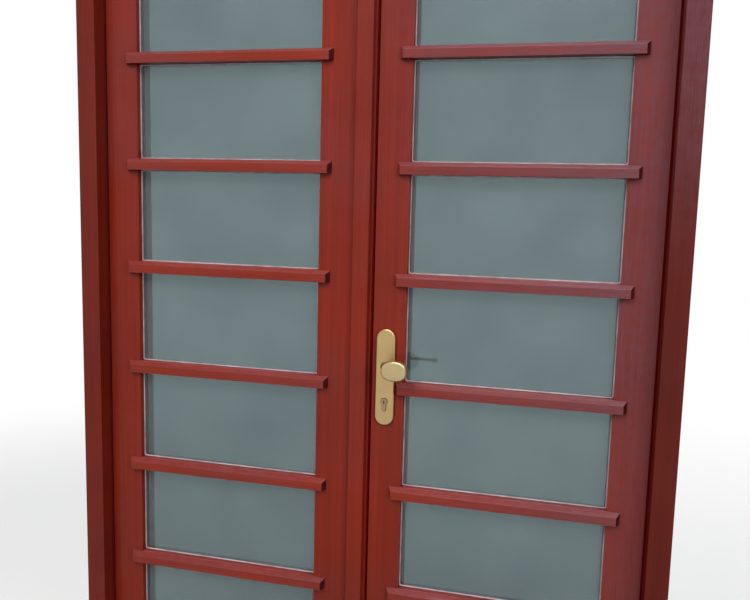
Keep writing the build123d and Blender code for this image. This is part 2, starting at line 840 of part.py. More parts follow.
def plate_screw_shanks(clearance=0.0):
    """The screws' shanks, from under their heads into the outer plate."""
    with BuildSketch(Plane.XZ.offset(screw_head_depth - inner_plate_face)) as shanks:
        for z in screw_heights:
            with Locations((spindle_x, z)):
                Circle(screw_radius + clearance)
    return shanks.sketch


def plate_screw_heads(clearance=0.0):
    """The screws' heads, flush in the inner plate."""
    with BuildSketch(Plane.XZ.offset(-inner_plate_face)) as heads:
        for z in screw_heights:
            with Locations((spindle_x, z)):
                Circle(screw_head_radius + clearance)
    return heads.sketch


with BuildPart() as plate_screws:
    extrude(plate_screw_heads(), amount=screw_head_depth)
    extrude(plate_screw_shanks(), amount=screw_reach)

with BuildPart() as outer_plate:
    add(outer_blank)
    extrude(plate_screw_shanks(running), amount=screw_reach + tip_gap, mode=Mode.SUBTRACT)

with BuildPart() as inner_plate:
    add(inner_blank)
    extrude(plate_screw_heads(running), amount=screw_head_depth, mode=Mode.SUBTRACT)
    extrude(plate_screw_shanks(running), amount=plate_thickness, mode=Mode.SUBTRACT)
    with BuildSketch(Plane.XZ.offset(-inner_plate_face)) as neck_hole:
        with Locations((spindle_x, spindle_height)):
            Circle(lever_neck + running)
    extrude(neck_hole.sketch, amount=plate_thickness, mode=Mode.SUBTRACT)

with BuildPart() as knob:
    with BuildSketch(Plane.XZ.offset(-outer_plate_face)) as neck_foot:
        with Locations((spindle_x, spindle_height)):
            Circle(knob_neck)
    with BuildSketch(Plane.XZ.offset(-knob_back)) as neck_top:
        with Locations((knob_x - knob_neck, spindle_height)):
            Circle(knob_neck)
    loft([neck_foot.sketch, neck_top.sketch])
    with BuildSketch(Plane.XZ.offset(-knob_back)) as knob_outline:
        with Locations((knob_x, spindle_height)):
            SlotOverall(knob_width, knob_height)
    extrude(knob_outline.sketch, amount=knob_thickness)
    knob_face = knob.faces().sort_by(Axis.Y)[0]
    chamfer(knob_face.edges(), knob_front_bevel)

with BuildPart() as lock_cylinder:
    with BuildSketch(Plane.XZ.offset(-cylinder_back)) as profile:
        with Locations((spindle_x, cylinder_z)):
            euro_profile()
    extrude(profile.sketch, amount=cylinder_back - cylinder_front)
    for y in ((cylinder_front, cylinder_front + plug_length), (cylinder_back - plug_length, cylinder_back)):
        with BuildSketch(Plane.XZ.offset(-y[1])) as plug_bore:
            with Locations((spindle_x, cylinder_z)):
                Circle(plug_radius + running)
        extrude(plug_bore.sketch, amount=plug_length, mode=Mode.SUBTRACT)


def plug(outer_end, direction):
    """A plug with its keyway, flush with the cylinder's end."""
    with BuildPart() as core:
        with BuildSketch(Plane.XZ.offset(-outer_end)) as disc:
            with Locations((spindle_x, cylinder_z)):
                Circle(plug_radius)
        extrude(disc.sketch, amount=-direction * (plug_length - play))
        with BuildSketch(Plane.XZ.offset(-outer_end)) as keyway:
            with Locations((spindle_x, cylinder_z - keyway_width / 2)):
                Rectangle(keyway_width, keyway_height)
        extrude(keyway.sketch, amount=-direction * keyway_depth, mode=Mode.SUBTRACT)
    return core


outer_plug = plug(cylinder_front, 1)
inner_plug = plug(cylinder_back, -1)

with BuildPart() as lever:
    with BuildSketch(Plane.XZ.offset(-leaf_back)) as neck:
        with Locations((spindle_x, spindle_height)):
            Circle(lever_neck)
    extrude(neck.sketch, amount=-(lever_y + lever_neck - leaf_back))
    with BuildSketch(Plane.XY.offset(spindle_height)) as grip:
        with BuildLine():
            tip_x = spindle_x + lever_length
            Polyline(
                (spindle_x, lever_y),
                (spindle_x, lever_y + lever_bar),
                (tip_x - lever_ball, lever_y + lever_bar),
                (tip_x - lever_ball, lever_y + lever_ball),
                (tip_x + lever_ball, lever_y + lever_ball),
                (tip_x + lever_ball, lever_y),
                close=True,
            )
        make_face()
    revolve(grip.sketch, axis=Axis((0, lever_y, spindle_height), (1, 0, 0)))
    chamfer(lever.faces().sort_by(Axis.Y)[-1].edges(), tip_gap)
    socket = spindle_size + 2 * running
    block(span(spindle_x, socket), (leaf_back, spindle_back), span(spindle_height, socket), Mode.SUBTRACT)

with BuildPart() as spindle:
    spindle_y = (case_y[0], spindle_back)
    block(span(spindle_x, spindle_size), spindle_y, span(spindle_height, spindle_size))

with BuildPart() as follower:
    with BuildSketch(Plane.XZ.offset(-case_y[1])) as hub:
        with Locations((spindle_x, spindle_height)):
            Circle(lever_neck)
            Rectangle(spindle_size + 2 * running, spindle_size + 2 * running, mode=Mode.SUBTRACT)
    extrude(hub.sketch, amount=case_thickness)

pieces = {
    "frame_left_jamb": frame_left_jamb,
    "frame_right_jamb": frame_right_jamb,
    "frame_head": frame_head,
    "frame_sill": frame_sill,
    "frame_head_backing": frame_head_backing,
    "frame_sill_backing": frame_sill_backing,
    "frame_gasket": frame_gasket,
    "head_keep": head_keep,
    "sill_keep": sill_keep,
    "left_hinge_frame_halves": left_hinge_frame_halves,
    "right_hinge_frame_halves": right_hinge_frame_halves,
    "left_hinge_stile": left_hinge_stile,
    "left_meeting_stile": left_meeting_stile,
    "left_top_rail": left_top_rail,
    "left_bottom_rail": left_bottom_rail,
    "left_cover_strip": cover_strip,
    "left_outer_pane": left_outer_pane,
    "left_inner_pane": left_inner_pane,
    "left_glass_spacer": left_glass_spacer,
    "left_glazing_beads": left_glazing_beads,
    "left_sealant": left_sealant,
    "left_bars": left_bars,
    "left_hinge_leaf_halves": left_hinge_leaf_halves,
    "left_bolt_keep": left_bolt_keep,
    "left_edge_bolt_plates": edge_bolt_plates,
    "left_top_edge_bolt": top_edge_bolt,
    "left_bottom_edge_bolt": bottom_edge_bolt,
    "right_hinge_stile": right_hinge_stile,
    "right_meeting_stile": right_meeting_stile,
    "right_top_rail": right_top_rail,
    "right_bottom_rail": right_bottom_rail,
    "right_outer_pane": right_outer_pane,
    "right_inner_pane": right_inner_pane,
    "right_glass_spacer": right_glass_spacer,
    "right_glazing_beads": right_glazing_beads,
    "right_sealant": right_sealant,
    "right_bars": right_bars,
    "right_hinge_leaf_halves": right_hinge_leaf_halves,
    "gear_case": gear_case,
    "centre_bolt": centre_bolt,
    "top_rod": top_rod,
    "bottom_rod": bottom_rod,
    "outer_plate": outer_plate,
    "inner_plate": inner_plate,
    "plate_screws": plate_screws,
    "knob": knob,
    "lock_cylinder": lock_cylinder,
    "outer_plug": outer_plug,
    "inner_plug": inner_plug,
    "lever": lever,
    "spindle": spindle,
    "follower": follower,
}
for name, piece in pieces.items():
    piece.part.label = name
    export_step(piece.part, f"parts/{name}.step")
print(len(pieces), "pieces written")
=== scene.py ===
import bpy
import bmesh
import json
import math
from mathutils import Matrix, Vector


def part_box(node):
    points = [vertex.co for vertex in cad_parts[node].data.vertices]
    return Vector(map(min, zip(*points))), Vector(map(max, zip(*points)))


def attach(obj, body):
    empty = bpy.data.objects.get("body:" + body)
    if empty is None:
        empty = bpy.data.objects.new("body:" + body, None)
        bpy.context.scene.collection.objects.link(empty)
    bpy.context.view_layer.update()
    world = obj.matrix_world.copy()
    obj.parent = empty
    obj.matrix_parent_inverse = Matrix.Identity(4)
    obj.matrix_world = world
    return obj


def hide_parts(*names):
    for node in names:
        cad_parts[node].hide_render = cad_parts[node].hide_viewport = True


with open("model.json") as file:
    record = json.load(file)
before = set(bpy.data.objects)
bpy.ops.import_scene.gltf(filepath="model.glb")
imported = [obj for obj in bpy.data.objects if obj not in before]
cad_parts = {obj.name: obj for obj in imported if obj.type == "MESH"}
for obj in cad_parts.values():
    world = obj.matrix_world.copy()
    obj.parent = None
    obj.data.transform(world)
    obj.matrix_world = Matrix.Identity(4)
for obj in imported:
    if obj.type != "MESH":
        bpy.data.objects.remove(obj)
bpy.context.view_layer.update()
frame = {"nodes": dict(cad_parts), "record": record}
scene = bpy.context.scene
scene.view_settings.view_transform = "Standard"
bodies = frame["record"]["behaviour"]["bodies"]
bodyOf = {node: body for body, nodes in bodies.items() for node in nodes}
print("frame loaded:", len(frame["nodes"]), "nodes")

# the camera stands outdoors, right of the middle, and looks left and down
view = {
    "place": (0.5179, -1.8742, 1.4655),
    "turnLeft": 14.4446,
    "tiltDown": 7.325,
    "roll": 1.447,
    "lens": 38.4,
    "sensorWidth": 36.0,
    "nearest": 0.05,
    "farthest": 60.0,
}


def aimCamera(sizes):
    yaw = math.radians(sizes["turnLeft"])
    pitch = math.radians(sizes["tiltDown"])
    roll = math.radians(sizes["roll"])
    flat = math.cos(pitch)
    ahead = Vector((-math.sin(yaw) * flat, math.cos(yaw) * flat, -math.sin(pitch)))
    level = ahead.cross(Vector((0, 0, 1))).normalized()
    up = level.cross(ahead)
    across = level * math.cos(roll) + up * math.sin(roll)
    upright = up * math.cos(roll) - level * math.sin(roll)
    data = bpy.data.cameras.new("photoCamera")
    data.sensor_width = sizes["sensorWidth"]
    data.lens = sizes["lens"]
    data.clip_start = sizes["nearest"]
    data.clip_end = sizes["farthest"]
    camera = bpy.data.objects.new("photoCamera", data)
    turn = Matrix((across, upright, -ahead)).transposed().to_4x4()
    camera.matrix_world = Matrix.Translation(sizes["place"]) @ turn
    scene.collection.objects.link(camera)
    scene.camera = camera


aimCamera(view)
print("camera set")


# a node with its settings, and its inputs either linked or set
def addNode(tree, kind, inputs=None, **settings):
    node = tree.nodes.new(kind)
    for key, value in settings.items():
        setattr(node, key, value)
    for key, value in (inputs or {}).items():
        if isinstance(value, bpy.types.NodeSocket):
            tree.links.new(value, node.inputs[key])
        else:
            node.inputs[key].default_value = value
    return node


def maths(tree, operation, *values, clamp=False):
    inputs = dict(enumerate(values))
    return addNode(tree, "ShaderNodeMath", inputs, operation=operation, use_clamp=clamp).outputs[0]


def vectorMaths(tree, operation, *values):
    inputs = dict(enumerate(values))
    return addNode(tree, "ShaderNodeVectorMath", inputs, operation=operation).outputs


# a value moved from the range start to end into the range low to high, and held there
def remap(tree, value, start, end, low=0.0, high=1.0, smooth=False):
    way = "SMOOTHSTEP" if smooth else "LINEAR"
    inputs = {0: value, 1: start, 2: end, 3: low, 4: high}
    return addNode(tree, "ShaderNodeMapRange", inputs, interpolation_type=way).outputs[0]


def noise(tree, place, scale, detail, rough=0.5):
    inputs = {"Vector": place, "Scale": scale, "Detail": detail, "Roughness": rough}
    return addNode(tree, "ShaderNodeTexNoise", inputs).outputs


# studio: pale floor, soft lamps, pale surroundings
studio = {
    "floorColour": (0.78, 0.77, 0.75, 1),
    "floorRough": 0.85,
    "floorWidth": 16.0,
    "floorBounce": (0.30, 0.29, 0.28, 1),
    "fadeStart": 1.6,
    "fadeEnd": 4.2,
    "plainColour": (1, 1, 1, 1),
    "plainStrength": 1.0,
    "skyColour": (0.93, 0.96, 1.0, 1),
    "skyStrength": 0.62,
}
# place, aim, width and watts; the last value is True for a lamp that only makes gloss
lamps = {
    "keyLamp": ((-1.3, -3.2, 4.2), (0.0, 0.0, 1.1), 2.4, 124, False),
    "fillLamp": ((2.9, -2.6, 2.4), (0.0, 0.0, 1.0), 2.6, 64, False),
    "backLamp": ((0.9, 3.2, 3.2), (0.0, 0.0, 1.1), 2.4, 70, False),
    "rimLamp": ((2.6, -2.2, 3.6), (0.0, 0.0, 1.3), 1.6, 50, True),
    "skyLamp": ((0.3, -0.7, 4.0), (0.2, -0.1, 1.2), 1.8, 60, True),
}


# 1 where a ray comes from the camera, straight, off a gloss or through glass
def seenRays(tree):
    path = addNode(tree, "ShaderNodeLightPath").outputs
    seen = maths(tree, "ADD", path["Is Camera Ray"], path["Is Glossy Ray"])
    return maths(tree, "ADD", seen, path["Is Transmission Ray"], clamp=True)


def mixShaders(tree, share, first, second):
    inputs = {0: share, 1: first.outputs[0], 2: second.outputs[0]}
    return addNode(tree, "ShaderNodeMixShader", inputs)


def buildWorld(sizes):
    world = bpy.data.worlds.new("studioWorld")
    world.use_nodes = True
    scene.world = world
    tree = world.node_tree
    tree.nodes.clear()
    sky = {"Color": sizes["skyColour"], "Strength": sizes["skyStrength"]}
    white = {"Color": sizes["plainColour"], "Strength": sizes["plainStrength"]}
    soft = addNode(tree, "ShaderNodeBackground", sky)
    plain = addNode(tree, "ShaderNodeBackground", white)
    mixed = mixShaders(tree, seenRays(tree), soft, plain)
    addNode(tree, "ShaderNodeOutputWorld", {"Surface": mixed.outputs[0]})


# the floor fades into the surroundings, and gives other rays a dimmer bounce
def buildFloor(sizes):
    material = bpy.data.materials.new("paleFloor")
    material.use_nodes = True
    tree = material.node_tree
    shader = tree.nodes["Principled BSDF"]
    shader.inputs["Base Color"].default_value = sizes["floorColour"]
    shader.inputs["Roughness"].default_value = sizes["floorRough"]
    place = addNode(tree, "ShaderNodeTexCoord").outputs["Object"]
    far = vectorMaths(tree, "LENGTH", place)["Value"]
    fade = remap(tree, far, sizes["fadeStart"], sizes["fadeEnd"], smooth=True)
    white = {"Color": sizes["plainColour"], "Strength": sizes["plainStrength"]}
    plain = addNode(tree, "ShaderNodeEmission", white)
    pale = mixShaders(tree, fade, shader, plain)
    dim = addNode(tree, "ShaderNodeBsdfDiffuse", {"Color": sizes["floorBounce"]})
    mixed = mixShaders(tree, seenRays(tree), dim, pale)
    tree.links.new(mixed.outputs[0], tree.nodes["Material Output"].inputs["Surface"])
    half = sizes["floorWidth"] / 2
    corners = [(-half, -half, 0), (half, -half, 0), (half, half, 0), (-half, half, 0)]
    mesh = bpy.data.meshes.new("studioFloor")
    mesh.from_pydata(corners, [], [(0, 1, 2, 3)])
    mesh.materials.append(material)
    floor = bpy.data.objects.new("studioFloor", mesh)
    scene.collection.objects.link(floor)


def hangLamps(sizes):
    for name, (place, aim, width, watts, onlyGloss) in sizes.items():
        data = bpy.data.lights.new(name, "AREA")
        data.shape = "DISK"
        data.size = width
        data.energy = watts
        holder = bpy.data.objects.new(name, data)
        holder.visible_camera = False
        holder.visible_transmission = False
        holder.visible_glossy = onlyGloss
        holder.visible_diffuse = not onlyGloss
        away = Vector(place) - Vector(aim)
        turn = away.to_track_quat("Z", "Y").to_matrix().to_4x4()
        holder.matrix_world = Matrix.Translation(place) @ turn
        scene.collection.objects.link(holder)


buildWorld(studio)
buildFloor(studio)
hangLamps(lamps)
print("studio set")


# shared effects: each is built once, with its inputs and their first values
def newGroup(name, inputs, outputs):
    tree = bpy.data.node_groups.new(name, "ShaderNodeTree")
    for label, value in inputs.items():
        kind = "NodeSocketVector" if isinstance(value, tuple) else "NodeSocketFloat"
        socket = tree.interface.new_socket(label, in_out="INPUT", socket_type=kind)
        socket.default_value = value
    for label in outputs:
        tree.interface.new_socket(label, in_out="OUTPUT", socket_type="NodeSocketFloat")
    given = tree.nodes.new("NodeGroupInput").outputs
    made = tree.nodes.new("NodeGroupOutput").inputs
    return tree, given, made


origin = (0.0, 0.0, 0.0)

# brush strokes and grain that run along one direction
grainMarks = {
    "wobbleScale": 9.0,
    "wobble": (0.9, 0.9, 0.0),
    "strokeRough": 0.6,
    "strokeHeight": 0.7,
    "poreScale": 3.4,
    "poreStart": 0.36,
    "poreEnd": 0.5,
    "poreHeight": 0.3,
    "broadScale": 0.16,
    "patchScale": 3.1,
    "strokeShade": 0.35,
    "broadShade": 0.35,
    "patchShade": 0.5,
    "shadeStart": 0.42,
    "shadeEnd": 0.78,
}


def buildPaintGrain(marks):
    inputs = {"Position": origin, "Stretch": (1.0, 1.0, 1.0)}
    tree, given, made = newGroup("paintGrain", inputs, ["Height", "Shade"])
    place = given["Position"]
    stretched = vectorMaths(tree, "MULTIPLY", place, given["Stretch"])[0]
    wobble = noise(tree, place, marks["wobbleScale"], 2.0)["Color"]
    bent = vectorMaths(tree, "MULTIPLY_ADD", wobble, marks["wobble"], stretched)[0]
    strokes = noise(tree, bent, 1.0, 3.0, marks["strokeRough"])["Fac"]
    pores = noise(tree, bent, marks["poreScale"], 2.0)["Fac"]
    broad = noise(tree, bent, marks["broadScale"], 2.0)["Fac"]
    patches = noise(tree, place, marks["patchScale"], 3.0)["Fac"]
    sharp = remap(tree, pores, marks["poreStart"], marks["poreEnd"], smooth=True)
    pits = maths(tree, "MULTIPLY", sharp, marks["poreHeight"])
    height = maths(tree, "MULTIPLY_ADD", strokes, marks["strokeHeight"], pits)
    shade = maths(tree, "MULTIPLY", broad, marks["broadShade"])
    shade = maths(tree, "MULTIPLY_ADD", strokes, marks["strokeShade"], shade)
    shade = maths(tree, "MULTIPLY_ADD", patches, marks["patchShade"], shade)
    tree.links.new(height, made["Height"])
    tree.links.new(remap(tree, shade, marks["shadeStart"], marks["shadeEnd"]), made["Shade"])
    return tree


# rubbed arrises, and on the bars a painted highlight along the arrises, found where a rounded
# normal leaves the true one
wearMarks = {
    "edgeStart": 0.99,
    "edgeEnd": 0.8,
    "edgeSamples": 4,
    "patchScale": 38.0,
    "patchStart": 0.4,
    "patchEnd": 0.62,
}


def buildEdgeWear(marks):
    inputs = {"Position": origin, "Radius": 0.002, "Amount": 0.5}
    tree, given, made = newGroup("arrisWearAndHighlight", inputs, ["Mask"])
    radius = {"Radius": given["Radius"]}
    rounded = addNode(tree, "ShaderNodeBevel", radius, samples=marks["edgeSamples"]).outputs[0]
    true = addNode(tree, "ShaderNodeNewGeometry").outputs["True Normal"]
    match = vectorMaths(tree, "DOT_PRODUCT", rounded, true)["Value"]
    edge = remap(tree, match, marks["edgeStart"], marks["edgeEnd"])
    patchy = noise(tree, given["Position"], marks["patchScale"], 3.0)["Fac"]
    broken = remap(tree, patchy, marks["patchStart"], marks["patchEnd"])
    mask = maths(tree, "MULTIPLY", edge, broken)
    tree.links.new(maths(tree, "MULTIPLY", mask, given["Amount"], clamp=True), made["Mask"])
    return tree


# faces that look up: settled dust, and a painted sky reflection that turns the tops pink-lavender
dustAndSheenMarks = {
    "slopeStart": 0.35,
    "slopeEnd": 0.85,
    "grainScale": 60.0,
    "grainRough": 0.7,
    "grainStart": 0.3,
    "grainEnd": 0.7,
    "thinnest": 0.35,
}


def buildDustAndSheen(marks):
    tree, given, made = newGroup("dustAndSkySheen", {"Position": origin, "Amount": 0.4}, ["Mask"])
    normal = addNode(tree, "ShaderNodeNewGeometry").outputs["Normal"]
    rise = addNode(tree, "ShaderNodeSeparateXYZ", {0: normal}).outputs["Z"]
    facing = remap(tree, rise, marks["slopeStart"], marks["slopeEnd"], smooth=True)
    grains = noise(tree, given["Position"], marks["grainScale"], 4.0, marks["grainRough"])["Fac"]
    uneven = remap(tree, grains, marks["grainStart"], marks["grainEnd"], marks["thinnest"])
    mask = maths(tree, "MULTIPLY", facing, uneven)
    tree.links.new(maths(tree, "MULTIPLY", mask, given["Amount"], clamp=True), made["Mask"])
    return tree


# how far a place is closed in: first sheltered, then in a corner, then deep in a gap
creviceMarks = {
    "samples": 8,
    "steps": {"Sheltered": (0.80, 0.45), "Corner": (0.50, 0.20), "Deep": (0.26, 0.08)},
}


def buildCrevice(marks):
    tree, given, made = newGroup("creviceDepth", {"Distance": 0.03}, list(marks["steps"]))
    reach = {"Distance": given["Distance"]}
    node = addNode(tree, "ShaderNodeAmbientOcclusion", reach, samples=marks["samples"])
    for label, (start, end) in marks["steps"].items():
        tree.links.new(remap(tree, node.outputs["AO"], start, end), made[label])
    return tree


# where the paint has chalked in patches, and a painted sky sheen all over on the side given by
# Side
chalkAndSheenMarks = {
    "broadScale": 2.3,
    "broadStart": 0.42,
    "broadEnd": 0.66,
    "fineScale": 46.0,
    "fineStart": 0.25,
    "fineEnd": 0.7,
    "thinnest": 0.6,
    "wave": 0.35,
}


def buildChalkAndSheen(marks):
    inputs = {
        "Position": origin, "Amount": 0.3,
        "Side": (0.5, 0.0, 0.5), "Side Start": 0.9, "Side End": 1.38,
    }
    tree, given, made = newGroup("chalkAndSkySheen", inputs, ["Mask"])
    place = given["Position"]
    broad = noise(tree, place, marks["broadScale"], 3.0)["Fac"]
    fine = noise(tree, place, marks["fineScale"], 3.0)["Fac"]
    reach = vectorMaths(tree, "DOT_PRODUCT", place, given["Side"])["Value"]
    cloudy = remap(tree, broad, marks["broadStart"], marks["broadEnd"])
    centred = maths(tree, "SUBTRACT", reach, marks["wave"] / 2)
    wavy = maths(tree, "MULTIPLY_ADD", broad, marks["wave"], centred)
    skySheen = remap(tree, wavy, given["Side Start"], given["Side End"])
    uneven = remap(tree, fine, marks["fineStart"], marks["fineEnd"], marks["thinnest"])
    patches = maths(tree, "MULTIPLY", cloudy, given["Amount"])
    both = maths(tree, "MAXIMUM", patches, skySheen)
    tree.links.new(maths(tree, "MULTIPLY", both, uneven, clamp=True), made["Mask"])
    return tree


# painted shade: faces that look right, such as the bars' right ends, and undersides are darkened
sideShadeMarks = {"sideStart": 0.45, "sideEnd": 0.75, "belowStart": -0.6, "belowEnd": -0.9}


def buildPaintedSideShade(marks):
    tree, given, made = newGroup("paintedSideShade", {"Amount": 0.5}, ["Mask"])
    facing = addNode(tree, "ShaderNodeTexCoord").outputs["Normal"]
    parts = addNode(tree, "ShaderNodeSeparateXYZ", {0: facing}).outputs
    ends = remap(tree, parts["X"], marks["sideStart"], marks["sideEnd"])
    below = remap(tree, parts["Z"], marks["belowStart"], marks["belowEnd"])
    both = maths(tree, "MAXIMUM", ends, below)
    tree.links.new(maths(tree, "MULTIPLY", both, given["Amount"]), made["Mask"])
    return tree


# a fine even satin, with faint handling marks
satinMarks = {"markScale": 26.0, "markStart": 0.32, "markEnd": 0.68}


def buildSatin(marks):
    inputs = {"Position": origin, "Fineness": 900.0}
    tree, given, made = newGroup("satinFinish", inputs, ["Height", "Marks"])
    fine = noise(tree, given["Position"], given["Fineness"], 2.0)["Fac"]
    cloudy = noise(tree, given["Position"], marks["markScale"], 4.0)["Fac"]
    tree.links.new(fine, made["Height"])
    tree.links.new(remap(tree, cloudy, marks["markStart"], marks["markEnd"]), made["Marks"])
    return tree


groups = {
    "grain": buildPaintGrain(grainMarks),
    "wear": buildEdgeWear(wearMarks),
    "dustAndSheen": buildDustAndSheen(dustAndSheenMarks),
    "crevice": buildCrevice(creviceMarks),
    "chalkAndSheen": buildChalkAndSheen(chalkAndSheenMarks),
    "ends": buildPaintedSideShade(sideShadeMarks),
    "satin": buildSatin(satinMarks),
}
print("shader groups built:", len(groups))


# a material with its plain values set, and the place that its patterns follow
def startMaterial(name, fixed):
    material = bpy.data.materials.new(name)
    material.use_nodes = True
    tree = material.node_tree
    shader = tree.nodes["Principled BSDF"]
    for socket, value in fixed.items():
        shader.inputs[socket].default_value = value
    place = addNode(tree, "ShaderNodeTexCoord").outputs["Object"]
    return material, tree, shader, place


def useGroup(tree, name, inputs):
    return addNode(tree, "ShaderNodeGroup", inputs, node_tree=groups[name]).outputs


def blendColour(tree, factor, first, second):
    inputs = {0: factor, 6: first, 7: second}
    return addNode(tree, "ShaderNodeMix", inputs, data_type="RGBA").outputs[2]


def addBump(tree, shader, height, strength, depth):
    inputs = {"Height": height, "Strength": strength, "Distance": depth}
    bump = addNode(tree, "ShaderNodeBump", inputs)
    tree.links.new(bump.outputs[0], shader.inputs["Normal"])


def scaled(colour, factor):
    return tuple(min(1.0, part * factor) for part in colour[:3]) + (1,)


paint = {
    "fixed": {"Coat Roughness": 0.1, "IOR": 1.5, "Specular IOR Level": 0.1},
    "dark": (0.146, 0.0100, 0.0016, 1),
    "light": (0.240, 0.0190, 0.0056, 1),
    # the next four colours: painted shade in corners, painted shade on ends and undersides, chalk
    # with painted sky sheen, and dust with painted sky reflection
    "corner": (0.105, 0.0028, 0.0010, 1),
    "ends": (0.040, 0.0030, 0.0040, 1),
    "chalkAndSheen": (0.128, 0.0480, 0.0600, 1),
    "dustAndSheen": (0.34, 0.12, 0.14, 1),
    "creviceReach": 0.03,
    "shelterShade": 0.4,
    "cornerShade": 0.45,
    "chalkAndSheenLevel": 0.9,
    "rough": 0.30,
    "grainRough": 0.14,
    "dustRough": 0.4,
    "shelterRough": 0.55,
    "across": 400.0,
    "along": 5.0,
    "bump": 0.5,
    "bumpDepth": 0.0006,
}
# how each kind of member has weathered, and the painted light it carries: shade, sheen and
# highlights
leafLook = {
    "tone": 1.0,
    "rubbedAndHighlight": (0.33, 0.050, 0.034, 1),
    "wear": 0.5,
    "wearWidth": 0.0018,
    "dustAndSheen": 0.5,
    "chalkAndSheen": 0.25,
    "side": (0.9, 0.0, 0.25),  # the way towards the painted sky sheen
    "sideStart": 0.30,
    "sideEnd": 1.25,
    "comb": 1.6,  # how far the grain breaks up the chalk and painted sheen into lighter ridges, a painted highlight
    "coat": 0.15,
    # painted bounce light: the bright red put deep in gaps
    "deep": (0.640, 0.0100, 0.0030, 1),
    "paintedSideShade": 0.0,
}
frameLook = dict(
    leafLook, tone=0.72, rubbedAndHighlight=(0.27, 0.040, 0.030, 1), chalkAndSheen=0.1, side=(0.5, 0.0, 0.5),
    sideStart=0.95, sideEnd=1.38, coat=0.12, deep=(0.420, 0.0300, 0.0240, 1),
)
# painted shade: the right jamb gets a darker copy of the frame's paint
shadedRightJambLook = dict(frameLook, tone=0.44)
# on the bars, the light rub along the arrises is a painted highlight, and their right ends and
# undersides get painted shade
barLook = dict(
    leafLook, tone=1.08, rubbedAndHighlight=(0.48, 0.180, 0.190, 1), wear=0.8, dustAndSheen=0.25, sideStart=0.25,
    sideEnd=1.05, comb=3.6, coat=0.3, deep=(0.420, 0.0100, 0.0060, 1), paintedSideShade=0.95,
)


def paintMaterial(name, stretch, look, sizes):
    material, tree, shader, place = startMaterial(name, sizes["fixed"])
    grain = useGroup(tree, "grain", {"Position": place, "Stretch": stretch})
    rubbing = {"Position": place, "Radius": look["wearWidth"], "Amount": look["wear"]}
    wear = useGroup(tree, "wear", rubbing)
    dustAndSheen = useGroup(tree, "dustAndSheen", {"Position": place, "Amount": look["dustAndSheen"]})
    skySheen = {
        "Position": place, "Amount": look["chalkAndSheen"],
        "Side": look["side"], "Side Start": look["sideStart"], "Side End": look["sideEnd"],
    }
    chalkAndSheen = useGroup(tree, "chalkAndSheen", skySheen)
    crevice = useGroup(tree, "crevice", {"Distance": sizes["creviceReach"]})
    ends = useGroup(tree, "ends", {"Amount": look["paintedSideShade"]})
    dark, light = scaled(sizes["dark"], look["tone"]), scaled(sizes["light"], look["tone"])
    colour = blendColour(tree, grain["Shade"], dark, light)
    # painted sky sheen on one side, with painted highlights on the grain's ridges, over patches of
    # chalked paint
    level = sizes["chalkAndSheenLevel"] - look["comb"] * 0.5
    combed = maths(tree, "MULTIPLY_ADD", grain["Height"], look["comb"], level)
    chalkAndSheenShare = maths(tree, "MULTIPLY", chalkAndSheen["Mask"], combed, clamp=True)
    colour = blendColour(tree, chalkAndSheenShare, colour, sizes["chalkAndSheen"])
    # rubbed arrises; on the bars a painted highlight
    colour = blendColour(tree, wear["Mask"], colour, look["rubbedAndHighlight"])
    # dust, and a painted sky reflection, on faces that look up
    colour = blendColour(tree, dustAndSheen["Mask"], colour, sizes["dustAndSheen"])
    # painted shade on faces that look right and on undersides
    colour = blendColour(tree, ends["Mask"], colour, sizes["ends"])
    # painted shade: the colour darkens in sheltered places and corners
    shaded = maths(tree, "MULTIPLY", crevice["Corner"], sizes["cornerShade"])
    shaded = maths(tree, "MULTIPLY_ADD", crevice["Sheltered"], sizes["shelterShade"], shaded)
    colour = blendColour(tree, shaded, colour, sizes["corner"])
    # painted bounce light: a bright saturated red deep in gaps, so that they read dark red
    colour = blendColour(tree, crevice["Deep"], colour, look["deep"])
    tree.links.new(colour, shader.inputs["Base Color"])
    rough = maths(tree, "MULTIPLY_ADD", grain["Shade"], sizes["grainRough"], sizes["rough"])
    rough = maths(tree, "MULTIPLY_ADD", dustAndSheen["Mask"], sizes["dustRough"], rough)
    shelter = sizes["shelterRough"]
    rough = maths(tree, "MULTIPLY_ADD", crevice["Sheltered"], shelter, rough, clamp=True)
    tree.links.new(rough, shader.inputs["Roughness"])
    coat = maths(tree, "MULTIPLY_ADD", crevice["Sheltered"], -look["coat"], look["coat"])
    tree.links.new(coat, shader.inputs["Coat Weight"])
    addBump(tree, shader, grain["Height"], sizes["bump"], sizes["bumpDepth"])
    return material


metalFinish = {
    "fixed": {"Specular IOR Level": 0.1},
    "gapShade": (0.300, 0.0100, 0.0050, 1),
    "creviceReach": 0.03,
    "deepRough": 0.6,
    "markRough": 0.10,
    "wear": 0.35,
    "wearWidth": 0.0012,
    "rubbedGain": 1.35,
    "bump": 0.06,
    "bumpDepth": 0.0002,
}
# name, colour, colour in the handling marks, roughness, fineness of the satin
metals = {
    "spacer": ("spacerAluminium", (0.52, 0.53, 0.54, 1), (0.44, 0.45, 0.46, 1), 0.42, 700.0),
    "gold": ("goldAluminium", (0.500, 0.345, 0.155, 1), (0.455, 0.320, 0.150, 1), 0.34, 1500.0),
    "paleGold": ("paleGoldAluminium", (0.50, 0.39, 0.205, 1), (0.46, 0.36, 0.19, 1), 0.32, 1500.0),
    "brass": ("cylinderBrass", (0.36, 0.24, 0.145, 1), (0.30, 0.20, 0.125, 1), 0.3, 1200.0),
    "zinc": ("zincSteel", (0.58, 0.58, 0.56, 1), (0.50, 0.51, 0.50, 1), 0.3, 900.0),
    "nickel": ("nickelSteel", (0.62, 0.60, 0.55, 1), (0.55, 0.53, 0.49, 1), 0.24, 900.0),
}


